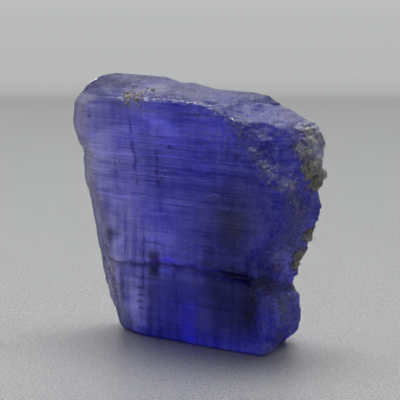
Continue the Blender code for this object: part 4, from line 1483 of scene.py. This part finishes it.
    def relief(self):
        """Bumps over one another: long and fine streaks, furrows on the roof, and grain where broken."""
        furrows = self.times(self.pattern("roof furrows"), self.roof)
        grain = self.times(self.pattern("broken grain"), self.rough_skin)
        normal = self.bump(self.times(self.long_streak, self.streaky), 0.03)
        normal = self.bump(self.times(self.fine_streak, self.streaky), 0.012, normal)
        normal = self.bump(furrows, 0.18, normal)
        return self.bump(grain, 0.12, normal)


def crystal_material():
    """The crystal's tint with its tone, then each kind of mark over it, its roughness and its relief."""
    look = CrystalLook()
    look.body()
    colour = look.toned(look.tone())
    for marked in (look.pale_marks, look.dark_marks, look.broken_marks, look.ridge_marks):
        colour = marked(colour)
    look.set("Base Color", colour)
    rough = look.contrast(look.fine_streak, 0.24, 0.36)
    look.set("Roughness", look.calc("ADD", rough, look.times(look.rough_skin, 0.18)))
    look.set("Normal", look.relief())
    return look.material


def studio_profile():
    """Distance ahead, height, and share of backdrop along the floor, up the fold and up the backdrop."""
    flat = np.array(FLOOR_ROWS)
    bend = np.linspace(0.0, math.pi / 2.0, FOLD_STEPS)
    rise = np.array(WALL_ROW_HEIGHTS)
    fold = FOLD_START + FOLD_RADIUS * np.sin(bend)
    reach = np.concatenate([flat, fold, FOLD_START + FOLD_RADIUS + 0.0 * rise])
    height = np.concatenate([0.0 * flat, FOLD_RADIUS * (1.0 - np.cos(bend)), rise])
    ramp = np.clip((reach - WALL_FADE[0]) / (WALL_FADE[1] - WALL_FADE[0]), 0.0, 1.0)
    return reach, height, ramp * ramp * (3.0 - 2.0 * ramp)


def studio():
    """A grey satin floor that folds up into a softly lit backdrop: one profile run sideways."""
    yaw = math.radians(CAMERA_YAW)
    ahead = np.array([-math.sin(yaw), math.cos(yaw)])
    aside = np.array([math.cos(yaw), math.sin(yaw)])
    reach, height, wall = studio_profile()
    side = np.linspace(-FLOOR_HALF_WIDTH, FLOOR_HALF_WIDTH, FLOOR_COLUMNS)
    plan = np.array(CAMERA_PLACE[:2]) + reach[:, None, None] * ahead + side[None, :, None] * aside
    level = height[:, None, None] - FLOOR_GAP
    grid = np.concatenate([plan, np.broadcast_to(level, plan.shape[:2] + (1,))], axis=-1)
    rows, columns = grid.shape[:2]
    quads = grid_quads(np.arange(rows * columns).reshape(rows, columns)).reshape(-1, 4)
    mesh = bpy.data.meshes.new("studio")
    mesh.from_pydata(grid.reshape(-1, 3) * MM, [], quads)
    smooth_faces(mesh, True)
    for label, value in (("wall", wall), ("glow", along(BACKDROP_GLOW, height))):
        add_layer(mesh, label, np.repeat(value, columns))
    shown("studio_floor", mesh, studio_material())


def studio_material():
    """Speckled satin grey, passing into plain light where the backdrop is."""
    look = Look("studio_grey", FLOOR_COLOUR, FLOOR_ROUGHNESS)
    speckle = look.mark("floor speckle")
    low, high = (tuple(c * f for c in FLOOR_COLOUR) + (1.0,) for f in FLOOR_SPECKLE)
    look.set("Base Color", look.mix(speckle, low, high))
    look.set("Normal", look.bump(speckle, FLOOR_BUMP))
    look.set("IOR", FLOOR_INDEX)
    light = look.tree.nodes.new("ShaderNodeEmission")
    light.inputs["Color"].default_value = BACKDROP_COLOUR
    look.feed(look.attribute("glow"), light.inputs["Strength"])
    mix = look.tree.nodes.new("ShaderNodeMixShader")
    look.feed(look.attribute("wall"), mix.inputs[0])
    look.feed(look.shader.outputs[0], mix.inputs[1])
    look.feed(light.outputs[0], mix.inputs[2])
    look.feed(mix.outputs[0], look.output.inputs["Surface"])
    return look.material


def area_light(name, size, energy, place, towards):
    """A soft rectangular light, placed and aimed in metres."""
    lamp = bpy.data.lights.new(name, "AREA")
    lamp.shape = "RECTANGLE"
    lamp.size, lamp.size_y = size
    lamp.energy = energy
    holder = bpy.data.objects.new(name, lamp)
    holder.location = place
    aim = Vector(towards) - Vector(place)
    holder.rotation_euler = aim.to_track_quat("-Z", "Y").to_euler()
    bpy.context.scene.collection.objects.link(holder)


def lights():
    """Dim even light from all round, and one soft light overhead."""
    world = bpy.data.worlds.new("studio_world")
    bpy.context.scene.world = world
    world.use_nodes = True
    back = world.node_tree.nodes["Background"]
    back.inputs["Color"].default_value = WORLD_COLOUR
    back.inputs["Strength"].default_value = WORLD_STRENGTH
    area_light("overhead", OVERHEAD_SIZE, OVERHEAD_ENERGY, OVERHEAD_PLACE, OVERHEAD_AIM)


def camera():
    """The photo's view: a long lens from the front right, turned by its pitch and yaw."""
    eye = bpy.data.cameras.new("camera")
    eye.lens = CAMERA_LENS
    eye.sensor_width = SENSOR_WIDTH
    eye.clip_start = CLIP_START
    place = bpy.data.objects.new("camera", eye)
    place.location = [c * MM for c in CAMERA_PLACE]
    place.rotation_euler = (math.radians(CAMERA_PITCH), 0.0, math.radians(CAMERA_YAW))
    bpy.context.scene.collection.objects.link(place)
    bpy.context.scene.camera = place


def main():
    """The crystal and the five sorts of small pieces on it, then the studio."""
    bpy.context.scene.view_settings.view_transform = "Standard"
    grid, masks = crystal_grid()
    mesh = closed_mesh("tanzanite_crystal_skin", grid, masks)
    crystal = shown("tanzanite_crystal_skin", mesh, crystal_material())
    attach(crystal, "root")
    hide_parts("tanzanite_crystal")
    rock_look = rock_material("host_rock", *ROCK_COLOURS, 0.6)
    crumb_look = rock_material("face_crumb", *CRUMB_COLOURS, 0.3)
    pieces = (
        shown("host_rock_grains", host_rock(), rock_look),
        shown("host_rock_skin", rock_skin(grid), crust_material()),
        shown("patch_crumbs", patch_crumbs(grid), crumb_look),
        shown("sparkle_flakes", sparkle_flakes(grid, masks), flake_material()),
        shown("lint_fibres", lint_fibres(), lint_material()),
    )
    for piece in pieces:
        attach(piece, "root")
    studio()
    lights()
    camera()


main()
